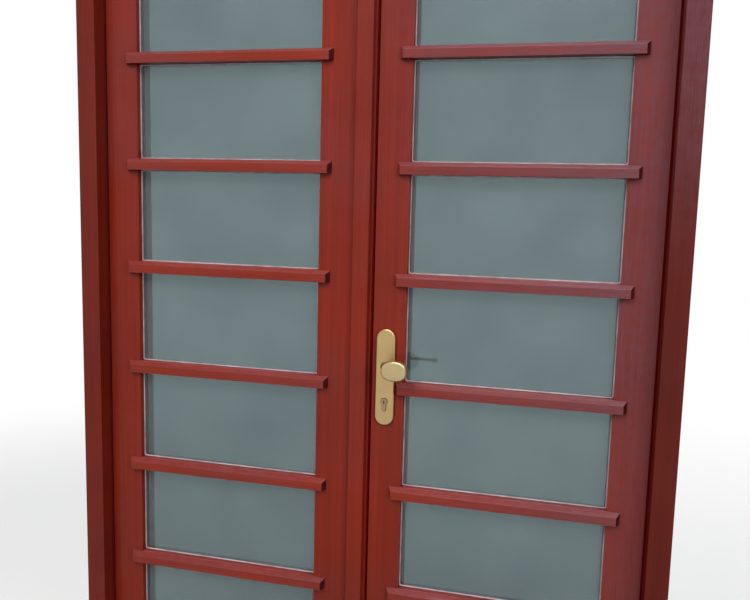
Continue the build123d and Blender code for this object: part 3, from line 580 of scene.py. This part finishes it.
def metalMaterial(name, colour, tint, rough, fineness, sizes):
    material, tree, shader, place = startMaterial(name, sizes["fixed"])
    satin = useGroup(tree, "satin", {"Position": place, "Fineness": fineness})
    rubbing = {"Position": place, "Radius": sizes["wearWidth"], "Amount": sizes["wear"]}
    wear = useGroup(tree, "wear", rubbing)
    crevice = useGroup(tree, "crevice", {"Distance": sizes["creviceReach"]})
    mixed = blendColour(tree, satin["Marks"], colour, tint)
    mixed = blendColour(tree, wear["Mask"], mixed, scaled(colour, sizes["rubbedGain"]))
    # painted shade: deep in gaps the metal turns a dark, non-metallic red
    mixed = blendColour(tree, crevice["Deep"], mixed, sizes["gapShade"])
    tree.links.new(mixed, shader.inputs["Base Color"])
    marked = maths(tree, "MULTIPLY_ADD", satin["Marks"], sizes["markRough"], rough)
    gapRoughness = maths(tree, "MULTIPLY_ADD", crevice["Deep"], sizes["deepRough"], marked, clamp=True)
    tree.links.new(gapRoughness, shader.inputs["Roughness"])
    tree.links.new(maths(tree, "SUBTRACT", 1.0, crevice["Deep"]), shader.inputs["Metallic"])
    addBump(tree, shader, satin["Height"], sizes["bump"], sizes["bumpDepth"])
    return material


glass = {
    "fixed": {"Transmission Weight": 0.9, "IOR": 1.45, "Metallic": 0.0},
    "clean": (0.345, 0.410, 0.420, 1),
    "filmed": (0.300, 0.362, 0.375, 1),
    "passed": (0.88, 0.92, 0.92, 1),  # what the lamps' light keeps
    "streakScale": 5.0,
    "streakRough": 0.62,
    "filmStart": 0.35,
    "filmEnd": 0.7,
    "filmRough": 0.03,
}


# lamps reach what is behind the panes, as they do through real glass
def glassMaterial(name, sizes):
    material, tree, shader, place = startMaterial(name, sizes["fixed"])
    streaks = noise(tree, place, sizes["streakScale"], 5.0, sizes["streakRough"])["Fac"]
    film = remap(tree, streaks, sizes["filmStart"], sizes["filmEnd"])
    tint = blendColour(tree, film, sizes["clean"], sizes["filmed"])
    tree.links.new(tint, shader.inputs["Base Color"])
    tree.links.new(maths(tree, "MULTIPLY", film, sizes["filmRough"]), shader.inputs["Roughness"])
    toLamp = addNode(tree, "ShaderNodeLightPath").outputs["Is Shadow Ray"]
    clear = addNode(tree, "ShaderNodeBsdfTransparent", {"Color": sizes["passed"]})
    mixed = mixShaders(tree, toLamp, shader, clear)
    tree.links.new(mixed.outputs[0], tree.nodes["Material Output"].inputs["Surface"])
    return material


softFinish = {
    "fixed": {"Specular IOR Level": 0.4},
    "stainPart": 9,  # stains are this many times broader than the lumps
    "stainStart": 0.35,
    "stainEnd": 0.68,
    "lumpRough": 0.15,
    "bump": 0.3,
}
# name, colour, colour in the stains, roughness, scale and depth of the lumps
softs = {
    "silicone": ("silicone", (0.50, 0.39, 0.40, 1), (0.30, 0.19, 0.20, 1), 0.35, 260.0, 0.0004),
    "rubber": (
        "redBrownRubber", (0.055, 0.012, 0.010, 1), (0.035, 0.008, 0.007, 1), 0.6, 500.0, 0.0002,
    ),
}


def softMaterial(name, colour, darker, rough, scale, depth, sizes):
    material, tree, shader, place = startMaterial(name, sizes["fixed"])
    lumps = noise(tree, place, scale, 3.0)["Fac"]
    stain = noise(tree, place, scale / sizes["stainPart"], 4.0)["Fac"]
    stained = remap(tree, stain, sizes["stainStart"], sizes["stainEnd"])
    tree.links.new(blendColour(tree, stained, colour, darker), shader.inputs["Base Color"])
    lumpy = maths(tree, "MULTIPLY_ADD", lumps, sizes["lumpRough"], rough)
    tree.links.new(lumpy, shader.inputs["Roughness"])
    addBump(tree, shader, lumps, sizes["bump"], depth)
    return material


uprightGrain = (paint["across"], paint["across"], paint["along"])
levelGrain = (paint["along"], paint["across"], paint["across"])
painted = {
    "uprightLeafPaint": (uprightGrain, leafLook),
    "levelLeafPaint": (levelGrain, leafLook),
    "uprightFramePaint": (uprightGrain, frameLook),
    "levelFramePaint": (levelGrain, frameLook),
    "shadedRightJambPaint": (uprightGrain, shadedRightJambLook),
    "barPaint": (levelGrain, barLook),
}
materials = {name: paintMaterial(name, *finish, paint) for name, finish in painted.items()}
materials["glass"] = glassMaterial("doubleGlazing", glass)
for key, finish in softs.items():
    materials[key] = softMaterial(*finish, softFinish)
for key, finish in metals.items():
    materials[key] = metalMaterial(*finish, metalFinish)
print("materials built:", len(materials))


# a piece's modifiers are worked into a plain mesh
def freeze(piece):
    graph = bpy.context.evaluated_depsgraph_get()
    mesh = bpy.data.meshes.new_from_object(
        piece.evaluated_get(graph), preserve_all_data_layers=True, depsgraph=graph
    )
    piece.modifiers.clear()
    piece.data = mesh
    return piece


def newPiece(name, mesh, material=None):
    piece = bpy.data.objects.new(name, mesh)
    scene.collection.objects.link(piece)
    if material:
        mesh.materials.clear()
        mesh.materials.append(materials[material])
    return piece


def standFor(piece, body, nodes):
    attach(piece, body)
    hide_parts(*nodes)


# angles in radians, lengths in metres
arrises = {
    "roundFrom": 0.35,
    "creaseFrom": 0.9,
    "flatUnder": 0.01,
    "mergeUnder": 1e-5,
    "faceWeight": 60,
}


# the outward edges of a solid are rounded, apart from those that are too short
def roundArrises(mesh, width, segments, shortest):
    shape = bmesh.new()
    shape.from_mesh(mesh)
    bmesh.ops.remove_doubles(shape, verts=shape.verts, dist=arrises["mergeUnder"])
    bmesh.ops.dissolve_limit(
        shape, angle_limit=arrises["flatUnder"], verts=shape.verts, edges=shape.edges
    )
    outward = [edge for edge in shape.edges if edge.is_manifold and edge.is_convex]
    chosen = [
        edge for edge in outward
        if edge.calc_face_angle() > arrises["roundFrom"] and edge.calc_length() > shortest
    ]
    bmesh.ops.bevel(
        shape, geom=chosen, offset=width, offset_type="OFFSET", segments=segments, profile=0.5,
        affect="EDGES", clamp_overlap=True, material=-1,
    )
    for face in shape.faces:
        face.smooth = True
    shape.to_mesh(mesh)
    shape.free()


def shadeByArea(piece, crease=arrises["creaseFrom"]):
    piece.data.set_sharp_from_angle(angle=crease)
    weigh = piece.modifiers.new("weighted", "WEIGHTED_NORMAL")
    weigh.keep_sharp = True
    weigh.weight = arrises["faceWeight"]
    freeze(piece)


def dressNode(node, name, material, width, segments, shortest=0.0):
    mesh = frame["nodes"][node].data.copy()
    roundArrises(mesh, width, segments, shortest)
    piece = newPiece(name, mesh, material)
    shadeByArea(piece)
    standFor(piece, bodyOf[node], [node])


# wooden members, with the grain along their length and softened arrises
wood = {
    "arris": 0.0016,
    "segments": 2,
    "shortest": 0.012,
    "upright": {
        "frame_left_jamb": "leftJamb",
        "frame_right_jamb": "rightJamb",
        "left_hinge_stile": "leftHingeStile",
        "left_meeting_stile": "leftMeetingStile",
        "right_hinge_stile": "rightHingeStile",
        "right_meeting_stile": "rightMeetingStile",
        "left_cover_strip": "coverStrip",
        "left_glazing_beads": "leftBeads",
        "right_glazing_beads": "rightBeads",
    },
    "level": {
        "frame_head": "head",
        "frame_head_backing": "headBacking",
        "frame_sill": "sill",
        "frame_sill_backing": "sillBacking",
        "left_top_rail": "leftTopRail",
        "left_bottom_rail": "leftBottomRail",
        "right_top_rail": "rightTopRail",
        "right_bottom_rail": "rightBottomRail",
    },
}
for way in ("upright", "level"):
    for node, name in wood[way].items():
        part = "frame" if node.startswith("frame") else "leaf"
        material = "shadedRightJambPaint" if name == "rightJamb" else way + part.capitalize() + "Paint"
        dressNode(
            node, name, material, wood["arris"], wood["segments"], wood["shortest"]
        )
print("wooden members dressed")


# Geometry Nodes: a tree with named inputs, given as label and kind
def newTree(name, inputs):
    tree = bpy.data.node_groups.new(name, "GeometryNodeTree")
    tree.interface.new_socket("Geometry", in_out="OUTPUT", socket_type="NodeSocketGeometry")
    for label, kind in inputs.items():
        tree.interface.new_socket(label, in_out="INPUT", socket_type="NodeSocket" + kind)
    given = tree.nodes.new("NodeGroupInput").outputs
    made = tree.nodes.new("NodeGroupOutput").inputs
    return tree, given, made


# the tree goes on a piece, with its inputs set by the sockets' identifiers
def putTree(piece, tree, values):
    modifier = piece.modifiers.new("grow", "NODES")
    modifier.node_group = tree
    for item in tree.interface.items_tree:
        if item.item_type == "SOCKET" and item.in_out == "INPUT" and item.name in values:
            modifier[item.identifier] = values[item.name]


def growPiece(name, tree, values):
    piece = newPiece(name, bpy.data.meshes.new(name))
    putTree(piece, tree, values)
    return piece


def vector(tree, x, y, z):
    return addNode(tree, "ShaderNodeCombineXYZ", {0: x, 1: y, 2: z}).outputs[0]


def block(tree, length, depth, height):
    size = vector(tree, length, depth, height)
    return addNode(tree, "GeometryNodeMeshCube", {"Size": size})


# a shape is repeated downwards, and one place may be skipped
def repeatDown(tree, shape, given, skip=None):
    step = vector(tree, 0.0, 0.0, maths(tree, "MULTIPLY", given["Pitch"], -1.0))
    row = {"Count": given["Count"], "Start Location": given["Start"], "Offset": step}
    points = addNode(tree, "GeometryNodeMeshLine", row, mode="OFFSET").outputs[0]
    if skip is not None:
        place = addNode(tree, "GeometryNodeInputIndex").outputs[0]
        pair = {2: place, 3: skip}
        left = addNode(tree, "FunctionNodeCompare", pair, data_type="INT", operation="EQUAL")
        taken = {"Geometry": points, "Selection": left.outputs[0]}
        points = addNode(tree, "GeometryNodeDeleteGeometry", taken, domain="POINT").outputs[0]
    spread = addNode(tree, "GeometryNodeInstanceOnPoints", {"Points": points, "Instance": shape})
    real = addNode(tree, "GeometryNodeRealizeInstances", {"Geometry": spread.outputs[0]})
    return real.outputs[0]


# every tree ends with its material
def endTree(tree, shape, given, made):
    inputs = {"Geometry": shape, "Material": given["Material"]}
    finished = addNode(tree, "GeometryNodeSetMaterial", inputs)
    tree.links.new(finished.outputs[0], made["Geometry"])
    return tree


# one bar is a block whose front row is drawn in at the ends and lowered at the top
def buildBarTree():
    tree, given, made = newTree("glazingBars", {
        "Count": "Int", "Skip": "Int", "Start": "Vector", "Pitch": "Float", "Length": "Float",
        "Height": "Float", "Face": "Float", "Proud": "Float", "End Bevel": "Float",
        "Bevel Depth": "Float", "Glass Length": "Float", "Glass Shift": "Float",
        "Reach": "Float", "Material": "Material",
    })
    bar = block(tree, given["Length"], given["Proud"], given["Height"])
    bar.inputs["Vertices Y"].default_value = 3
    at = addNode(tree, "GeometryNodeInputPosition").outputs[0]
    where = addNode(tree, "ShaderNodeSeparateXYZ", {0: at}).outputs
    # the share runs from 0 at the front row to 1 at the back row
    share = maths(tree, "ADD", maths(tree, "DIVIDE", where["Y"], given["Proud"]), 0.5)
    front = maths(tree, "LESS_THAN", share, 0.25)
    middle = maths(tree, "COMPARE", share, 0.5, 0.1)
    bevelShare = maths(tree, "DIVIDE", given["Bevel Depth"], given["Proud"])
    slid = maths(tree, "MULTIPLY", middle, maths(tree, "SUBTRACT", bevelShare, 0.5))
    depthShare = maths(tree, "ADD", slid, share)
    newY = maths(tree, "MULTIPLY", maths(tree, "SUBTRACT", depthShare, 1.0), given["Proud"])
    drawnIn = maths(tree, "MULTIPLY", front, given["End Bevel"])
    pull = maths(tree, "MULTIPLY", maths(tree, "SIGN", where["X"]), drawnIn)
    newX = maths(tree, "SUBTRACT", where["X"], pull)
    drop = maths(tree, "SUBTRACT", given["Height"], given["Face"])
    lowered = maths(tree, "MULTIPLY", drop, maths(tree, "SUBTRACT", 1.0, depthShare))
    top = maths(tree, "GREATER_THAN", where["Z"], 0.0)
    newZ = maths(tree, "MULTIPLY", top, maths(tree, "SUBTRACT", given["Height"], lowered))
    moves = {"Geometry": bar.outputs[0], "Position": vector(tree, newX, newY, newZ)}
    shaped = addNode(tree, "GeometryNodeSetPosition", moves)
    # the core reaches back through the panes
    core = block(tree, given["Glass Length"], given["Reach"], given["Height"])
    halfReach = maths(tree, "MULTIPLY", given["Reach"], 0.5)
    halfHeight = maths(tree, "MULTIPLY", given["Height"], 0.5)
    coreAt = vector(tree, given["Glass Shift"], halfReach, halfHeight)
    moves = {"Geometry": core.outputs[0], "Translation": coreAt}
    moved = addNode(tree, "GeometryNodeTransform", moves)
    joined = addNode(tree, "GeometryNodeJoinGeometry")
    tree.links.new(moved.outputs[0], joined.inputs[0])
    tree.links.new(shaped.outputs[0], joined.inputs[0])
    spread = repeatDown(tree, joined.outputs[0], given, given["Skip"])
    return endTree(tree, spread, given, made)


bars = {
    "count": 6,
    "height": 0.030,
    "face": 0.021,
    "endBevel": 0.008,
    "bevelDepth": 0.013,
    "arris": 0.0016,
    "arrisSegments": 2,
    "arrisFrom": 0.25,
    "shortBar": 3,  # counted from the top, from 0
    "plateGap": 0.002,
}
barTree = buildBarTree()


def layBars(side, sizes):
    low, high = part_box(side + "_bars")
    glassLow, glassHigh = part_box(side + "_sealant")
    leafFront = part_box(side + "_hinge_stile")[0].y
    pitch = (high.z - low.z - sizes["height"]) / (sizes["count"] - 1)
    values = {
        "Count": sizes["count"],
        "Skip": sizes["shortBar"] if side == "right" else -1,
        "Start": ((low.x + high.x) / 2, leafFront, high.z - sizes["height"]),
        "Pitch": pitch,
        "Length": high.x - low.x,
        "Height": sizes["height"],
        "Face": sizes["face"],
        "Proud": leafFront - low.y,
        "End Bevel": sizes["endBevel"],
        "Bevel Depth": sizes["bevelDepth"],
        "Glass Length": glassHigh.x - glassLow.x,
        "Glass Shift": (glassLow.x + glassHigh.x - low.x - high.x) / 2,
        "Reach": high.y - leafFront,
        "Material": materials["barPaint"],
    }
    made = [growPiece(side + "Bars", barTree, values)]
    if side == "right":
        # one bar is cut short beside the handle's plate
        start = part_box("outer_plate")[1].x + sizes["plateGap"]
        foot = high.z - sizes["height"] - sizes["shortBar"] * pitch
        values["Count"] = 1
        values["Skip"] = -1
        values["Start"] = ((start + high.x) / 2, leafFront, foot)
        values["Length"] = high.x - start
        values["Glass Shift"] = (glassLow.x + glassHigh.x - start - high.x) / 2
        made.append(growPiece("rightShortBar", barTree, values))
    for piece in made:
        bevel = piece.modifiers.new("arris", "BEVEL")
        bevel.width = sizes["arris"]
        bevel.segments = sizes["arrisSegments"]
        bevel.angle_limit = sizes["arrisFrom"]
        freeze(piece)
        piece.data.polygons.foreach_set("use_smooth", [True] * len(piece.data.polygons))
        shadeByArea(piece)
        standFor(piece, side + "_leaf", [side + "_bars"])


for side in ("left", "right"):
    layBars(side, bars)
print("bars laid")


sealant = {
    "count": 7,
    "corner": 0.0075,
    "cornerPoints": 7,
    "roundPoints": 12,
    "halfWidth": 0.0030,
    "rise": 0.0024,
    "outset": 0.0006,
}


# one bead of sealant is a flattened round drawn along a rectangle with soft corners
def buildSealantTree(sizes):
    tree, given, made = newTree("sealantRings", {
        "Count": "Int", "Start": "Vector", "Pitch": "Float", "Width": "Float", "Height": "Float",
        "Corner": "Float", "Half Width": "Float", "Rise": "Float", "Material": "Material",
    })
    size = {"Width": given["Width"], "Height": given["Height"]}
    outline = addNode(tree, "GeometryNodeCurvePrimitiveQuadrilateral", size).outputs[0]
    rounding = {"Curve": outline, "Count": sizes["cornerPoints"], "Radius": given["Corner"]}
    softened = addNode(tree, "GeometryNodeFilletCurve", rounding, mode="POLY").outputs[0]
    path = addNode(tree, "GeometryNodeSetCurveNormal", {"Curve": softened}, mode="Z_UP").outputs[0]
    points = {"Resolution": sizes["roundPoints"], "Radius": 1.0}
    ring = addNode(tree, "GeometryNodeCurvePrimitiveCircle", points).outputs[0]
    pressed = {"Geometry": ring, "Scale": vector(tree, given["Half Width"], given["Rise"], 1.0)}
    flat = addNode(tree, "GeometryNodeTransform", pressed).outputs[0]
    drawn = {"Curve": path, "Profile Curve": flat}
    swept = addNode(tree, "GeometryNodeCurveToMesh", drawn).outputs[0]
    smooth = addNode(tree, "GeometryNodeSetShadeSmooth", {"Geometry": swept}).outputs[0]
    turned = {"Geometry": smooth, "Rotation": (math.pi / 2, 0.0, 0.0)}
    stood = addNode(tree, "GeometryNodeTransform", turned).outputs[0]
    return endTree(tree, repeatDown(tree, stood, given), given, made)


sealantTree = buildSealantTree(sealant)


def runSealant(side, sizes):
    low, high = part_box(side + "_sealant")
    barLow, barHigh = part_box(side + "_bars")
    pitch = (barHigh.z - barLow.z - bars["height"]) / (bars["count"] - 1)
    lightHeight = pitch - bars["height"]
    values = {
        "Count": sizes["count"],
        "Start": ((low.x + high.x) / 2, high.y, high.z - lightHeight / 2),
        "Pitch": pitch,
        "Width": high.x - low.x + 2 * sizes["outset"],
        "Height": lightHeight + 2 * sizes["outset"],
        "Corner": sizes["corner"],
        "Half Width": sizes["halfWidth"],
        "Rise": sizes["rise"],
        "Material": materials["silicone"],
    }
    piece = freeze(growPiece(side + "SealantRings", sealantTree, values))
    standFor(piece, side + "_leaf", [side + "_sealant"])


for side in ("left", "right"):
    runSealant(side, sealant)
print("sealant run")

# nodes that keep their own shape
kept = {
    "frame_gasket": "rubber",
    "left_outer_pane": "glass",
    "left_inner_pane": "glass",
    "right_outer_pane": "glass",
    "right_inner_pane": "glass",
    "left_glass_spacer": "spacer",
    "right_glass_spacer": "spacer",
    "spindle": "zinc",
    "follower": "zinc",
}
for node, material in kept.items():
    mesh = frame["nodes"][node].data
    mesh.materials.clear()
    mesh.materials.append(materials[material])

# metal pieces: name, metal, slot, width of the arrises
metalSegments = 3
metalPieces = {
    "head_keep": ("headKeep", "zinc", "lock_steel", 0.0003),
    "sill_keep": ("sillKeep", "zinc", "lock_steel", 0.0003),
    "left_hinge_frame_halves": ("leftFrameHinges", "nickel", "hinge_steel", 0.0008),
    "right_hinge_frame_halves": ("rightFrameHinges", "nickel", "hinge_steel", 0.0008),
    "left_hinge_leaf_halves": ("leftLeafHinges", "nickel", "hinge_steel", 0.0008),
    "right_hinge_leaf_halves": ("rightLeafHinges", "nickel", "hinge_steel", 0.0008),
    "left_bolt_keep": ("boltKeep", "zinc", "lock_steel", 0.0003),
    "left_edge_bolt_plates": ("edgeBoltPlates", "zinc", "lock_steel", 0.0003),
    "left_top_edge_bolt": ("topEdgeBolt", "zinc", "lock_steel", 0.0004),
    "left_bottom_edge_bolt": ("bottomEdgeBolt", "zinc", "lock_steel", 0.0004),
    "gear_case": ("gearCase", "zinc", "lock_steel", 0.0003),
    "centre_bolt": ("centreBolt", "zinc", "lock_steel", 0.0004),
    "top_rod": ("topRod", "zinc", "lock_steel", 0.0004),
    "bottom_rod": ("bottomRod", "zinc", "lock_steel", 0.0004),
    "outer_plate": ("outerPlate", "gold", "gold_aluminium", 0.0011),
    "inner_plate": ("innerPlate", "gold", "gold_aluminium", 0.0011),
    "lock_cylinder": ("lockCylinder", "brass", "cylinder_brass", 0.0003),
    "outer_plug": ("outerPlug", "brass", "cylinder_brass", 0.0002),
    "inner_plug": ("innerPlug", "brass", "cylinder_brass", 0.0002),
}
for node, (name, material, slotName, width) in metalPieces.items():
    dressNode(node, name, material, width, metalSegments)
print("metal pieces dressed")


# rings of points are joined one to the next and closed at both ends
def skinRings(name, rings, material):
    count = len(rings[0])
    points = [point for ring in rings for point in ring]
    faces = [tuple(range(count - 1, -1, -1)), tuple(range(len(points) - count, len(points)))]
    for row in range(len(rings) - 1):
        for step in range(count):
            near, far = row * count + step, row * count + (step + 1) % count
            faces.append((near, far, far + count, near + count))
    mesh = bpy.data.meshes.new(name)
    mesh.from_pydata(points, [], faces)
    shape = bmesh.new()
    shape.from_mesh(mesh)
    bmesh.ops.recalc_face_normals(shape, faces=shape.faces)
    for face in shape.faces:
        face.smooth = True
    shape.to_mesh(mesh)
    shape.free()
    return newPiece(name, mesh, material)


def ease(share):
    return share * share * (3 - 2 * share)


# power 2 gives an ellipse, a higher power a squarer oval
def ovalRing(centreX, centreZ, depth, halfWide, halfHigh, power, count):
    ring = []
    for step in range(count):
        turn = 2 * math.pi * step / count
        across, rise = math.cos(turn), math.sin(turn)
        x = math.copysign(abs(across) ** (2 / power), across) * halfWide
        z = math.copysign(abs(rise) ** (2 / power), rise) * halfHigh
        ring.append((centreX + x, depth, centreZ + z))
    return ring


knob = {
    "width": 0.064,
    "thickness": 0.022,
    "squareness": 2.4,
    "points": 72,
    "neckRadius": 0.012,
    "neckWaist": 0.0095,
    "neckCurve": 0.7,
    "neckSteps": 14,
    # share of the outline's size, share of the thickness from the back
    "profile": [
        (0.84, 0.0), (0.92, 0.03), (0.965, 0.10), (0.99, 0.22), (1.0, 0.36),
        (0.997, 0.50), (0.985, 0.63), (0.962, 0.745), (0.925, 0.835), (0.87, 0.90),
        (0.79, 0.943), (0.68, 0.968), (0.52, 0.985), (0.33, 0.995), (0.14, 1.0),
    ],
}


# a waisted neck leads from the plate to an oval with a crowned face
def turnKnob(sizes):
    low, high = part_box("knob")
    points, neck = sizes["points"], sizes["neckRadius"]
    plateX = low.x + neck
    knobX = high.x - sizes["width"] / 2
    middleZ = (low.z + high.z) / 2
    backY = low.y + sizes["thickness"]
    neckX = knobX - neck
    rings = []
    for step in range(sizes["neckSteps"] + 1):
        share = step / sizes["neckSteps"]
        slim = math.sin(math.pi * share) ** sizes["neckCurve"] if 0 < share < 1 else 0.0
        radius = neck + (sizes["neckWaist"] - neck) * slim
        centreX = plateX + (neckX - plateX) * ease(share)
        y = high.y + (backY - high.y) * share
        rings.append(ovalRing(centreX, middleZ, y, radius, radius, 2.0, points))
    for share, depth in sizes["profile"]:
        y = backY + (low.y - backY) * depth
        halfWide = sizes["width"] / 2 * share
        halfHigh = (high.z - low.z) / 2 * share
        rings.append(ovalRing(knobX, middleZ, y, halfWide, halfHigh, sizes["squareness"], points))
    piece = skinRings("ovalKnob", rings, "paleGold")
    piece.data.set_sharp_from_angle(angle=arrises["creaseFrom"])
    standFor(piece, bodyOf["knob"], ["knob"])


lever = {
    "neckRadius": 0.009,
    "elbow": 0.016,
    "elbowGain": 1.5,
    "elbowSlim": 0.5,
    "gripRadius": 0.0044,
    "taperLength": 0.034,
    "ballRadius": 0.0075,
    "ballCollar": 0.0005,
    "ballEnd": 0.985,
    "crease": 0.6,
    "points": 40,
    "steps": 10,
}


# a neck, an elbow, a tapered grip and a ball, as rings along one path
def sweepLever(sizes):
    low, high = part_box("lever")
    elbow, steps = sizes["elbow"], sizes["steps"]
    neck, grip, ball = sizes["neckRadius"], sizes["gripRadius"], sizes["ballRadius"]
    quarter = math.pi / 2
    spindleX = low.x + neck
    middleZ = (low.z + high.z) / 2
    gripY = high.y - neck
    ballX = high.x - ball
    # centre in X and Y, heading from the neck's way towards the grip's, radius
    path = [(spindleX, low.y, 0.0, neck)]
    for step in range(steps + 1):
        turn = quarter * step / steps
        x = spindleX + elbow * (1 - math.cos(turn))
        y = gripY - elbow * (1 - math.sin(turn))
        slim = (grip * sizes["elbowGain"] - neck) * ease(step / steps) * sizes["elbowSlim"]
        path.append((x, y, turn, neck + slim))
    elbowRadius = path[-1][3]
    for step in range(1, steps + 1):
        share = step / steps
        x = spindleX + elbow + sizes["taperLength"] * share
        path.append((x, gripY, quarter, elbowRadius + (grip - elbowRadius) * ease(share)))
    first = math.acos(grip / ball) - quarter
    collarX = ballX + ball * math.sin(first) - sizes["ballCollar"]
    path.append((collarX, gripY, quarter, grip))
    for step in range(2 * steps + 1):
        turn = first + (quarter * sizes["ballEnd"] - first) * step / (2 * steps)
        path.append((ballX + ball * math.sin(turn), gripY, quarter, ball * math.cos(turn)))
    rings = []
    for x, y, heading, radius in path:
        sideX, sideY = -math.cos(heading), math.sin(heading)
        ring = []
        for step in range(sizes["points"]):
            turn = 2 * math.pi * step / sizes["points"]
            out, rise = radius * math.cos(turn), radius * math.sin(turn)
            ring.append((x + out * sideX, y + out * sideY, middleZ + rise))
        rings.append(ring)
    piece = skinRings("ballLever", rings, "paleGold")
    shadeByArea(piece, sizes["crease"])
    standFor(piece, bodyOf["lever"], ["lever"])


turnKnob(knob)
sweepLever(lever)
print("handles shaped")


# two crossed slots are cut into each screw's head
def buildSlotTree():
    tree, given, made = newTree("crossSlots", {
        "Geometry": "Geometry", "Count": "Int", "Start": "Vector", "Pitch": "Float",
        "Slot Length": "Float", "Slot Width": "Float", "Slot Depth": "Float",
        "Material": "Material",
    })
    depth = maths(tree, "MULTIPLY", given["Slot Depth"], 2.0)
    level = block(tree, given["Slot Length"], depth, given["Slot Width"])
    upright = block(tree, given["Slot Width"], depth, given["Slot Length"])
    cutters = [repeatDown(tree, slot.outputs[0], given) for slot in (level, upright)]
    solid = {0: given["Geometry"]}
    cut = addNode(tree, "GeometryNodeMeshBoolean", solid, operation="DIFFERENCE", solver="EXACT")
    for cutter in cutters:
        tree.links.new(cutter, cut.inputs[1])
    return endTree(tree, cut.outputs[0], given, made)


screws = {
    "count": 2,
    "slotLength": 0.0046,
    "slotWidth": 0.0011,
    "slotDepth": 0.0018,
    "arris": 0.0003,
}


def cutScrews(sizes):
    low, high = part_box("plate_screws")
    radius = (high.x - low.x) / 2
    values = {
        "Count": sizes["count"],
        "Start": ((low.x + high.x) / 2, high.y, high.z - radius),
        "Pitch": high.z - low.z - 2 * radius,
        "Slot Length": sizes["slotLength"],
        "Slot Width": sizes["slotWidth"],
        "Slot Depth": sizes["slotDepth"],
        "Material": materials["gold"],
    }
    mesh = frame["nodes"]["plate_screws"].data.copy()
    roundArrises(mesh, sizes["arris"], metalSegments, 0.0)
    piece = newPiece("plateScrews", mesh, "gold")
    putTree(piece, buildSlotTree(), values)
    freeze(piece)
    shadeByArea(piece)
    standFor(piece, bodyOf["plate_screws"], ["plate_screws"])


cutScrews(screws)
print("screws cut")
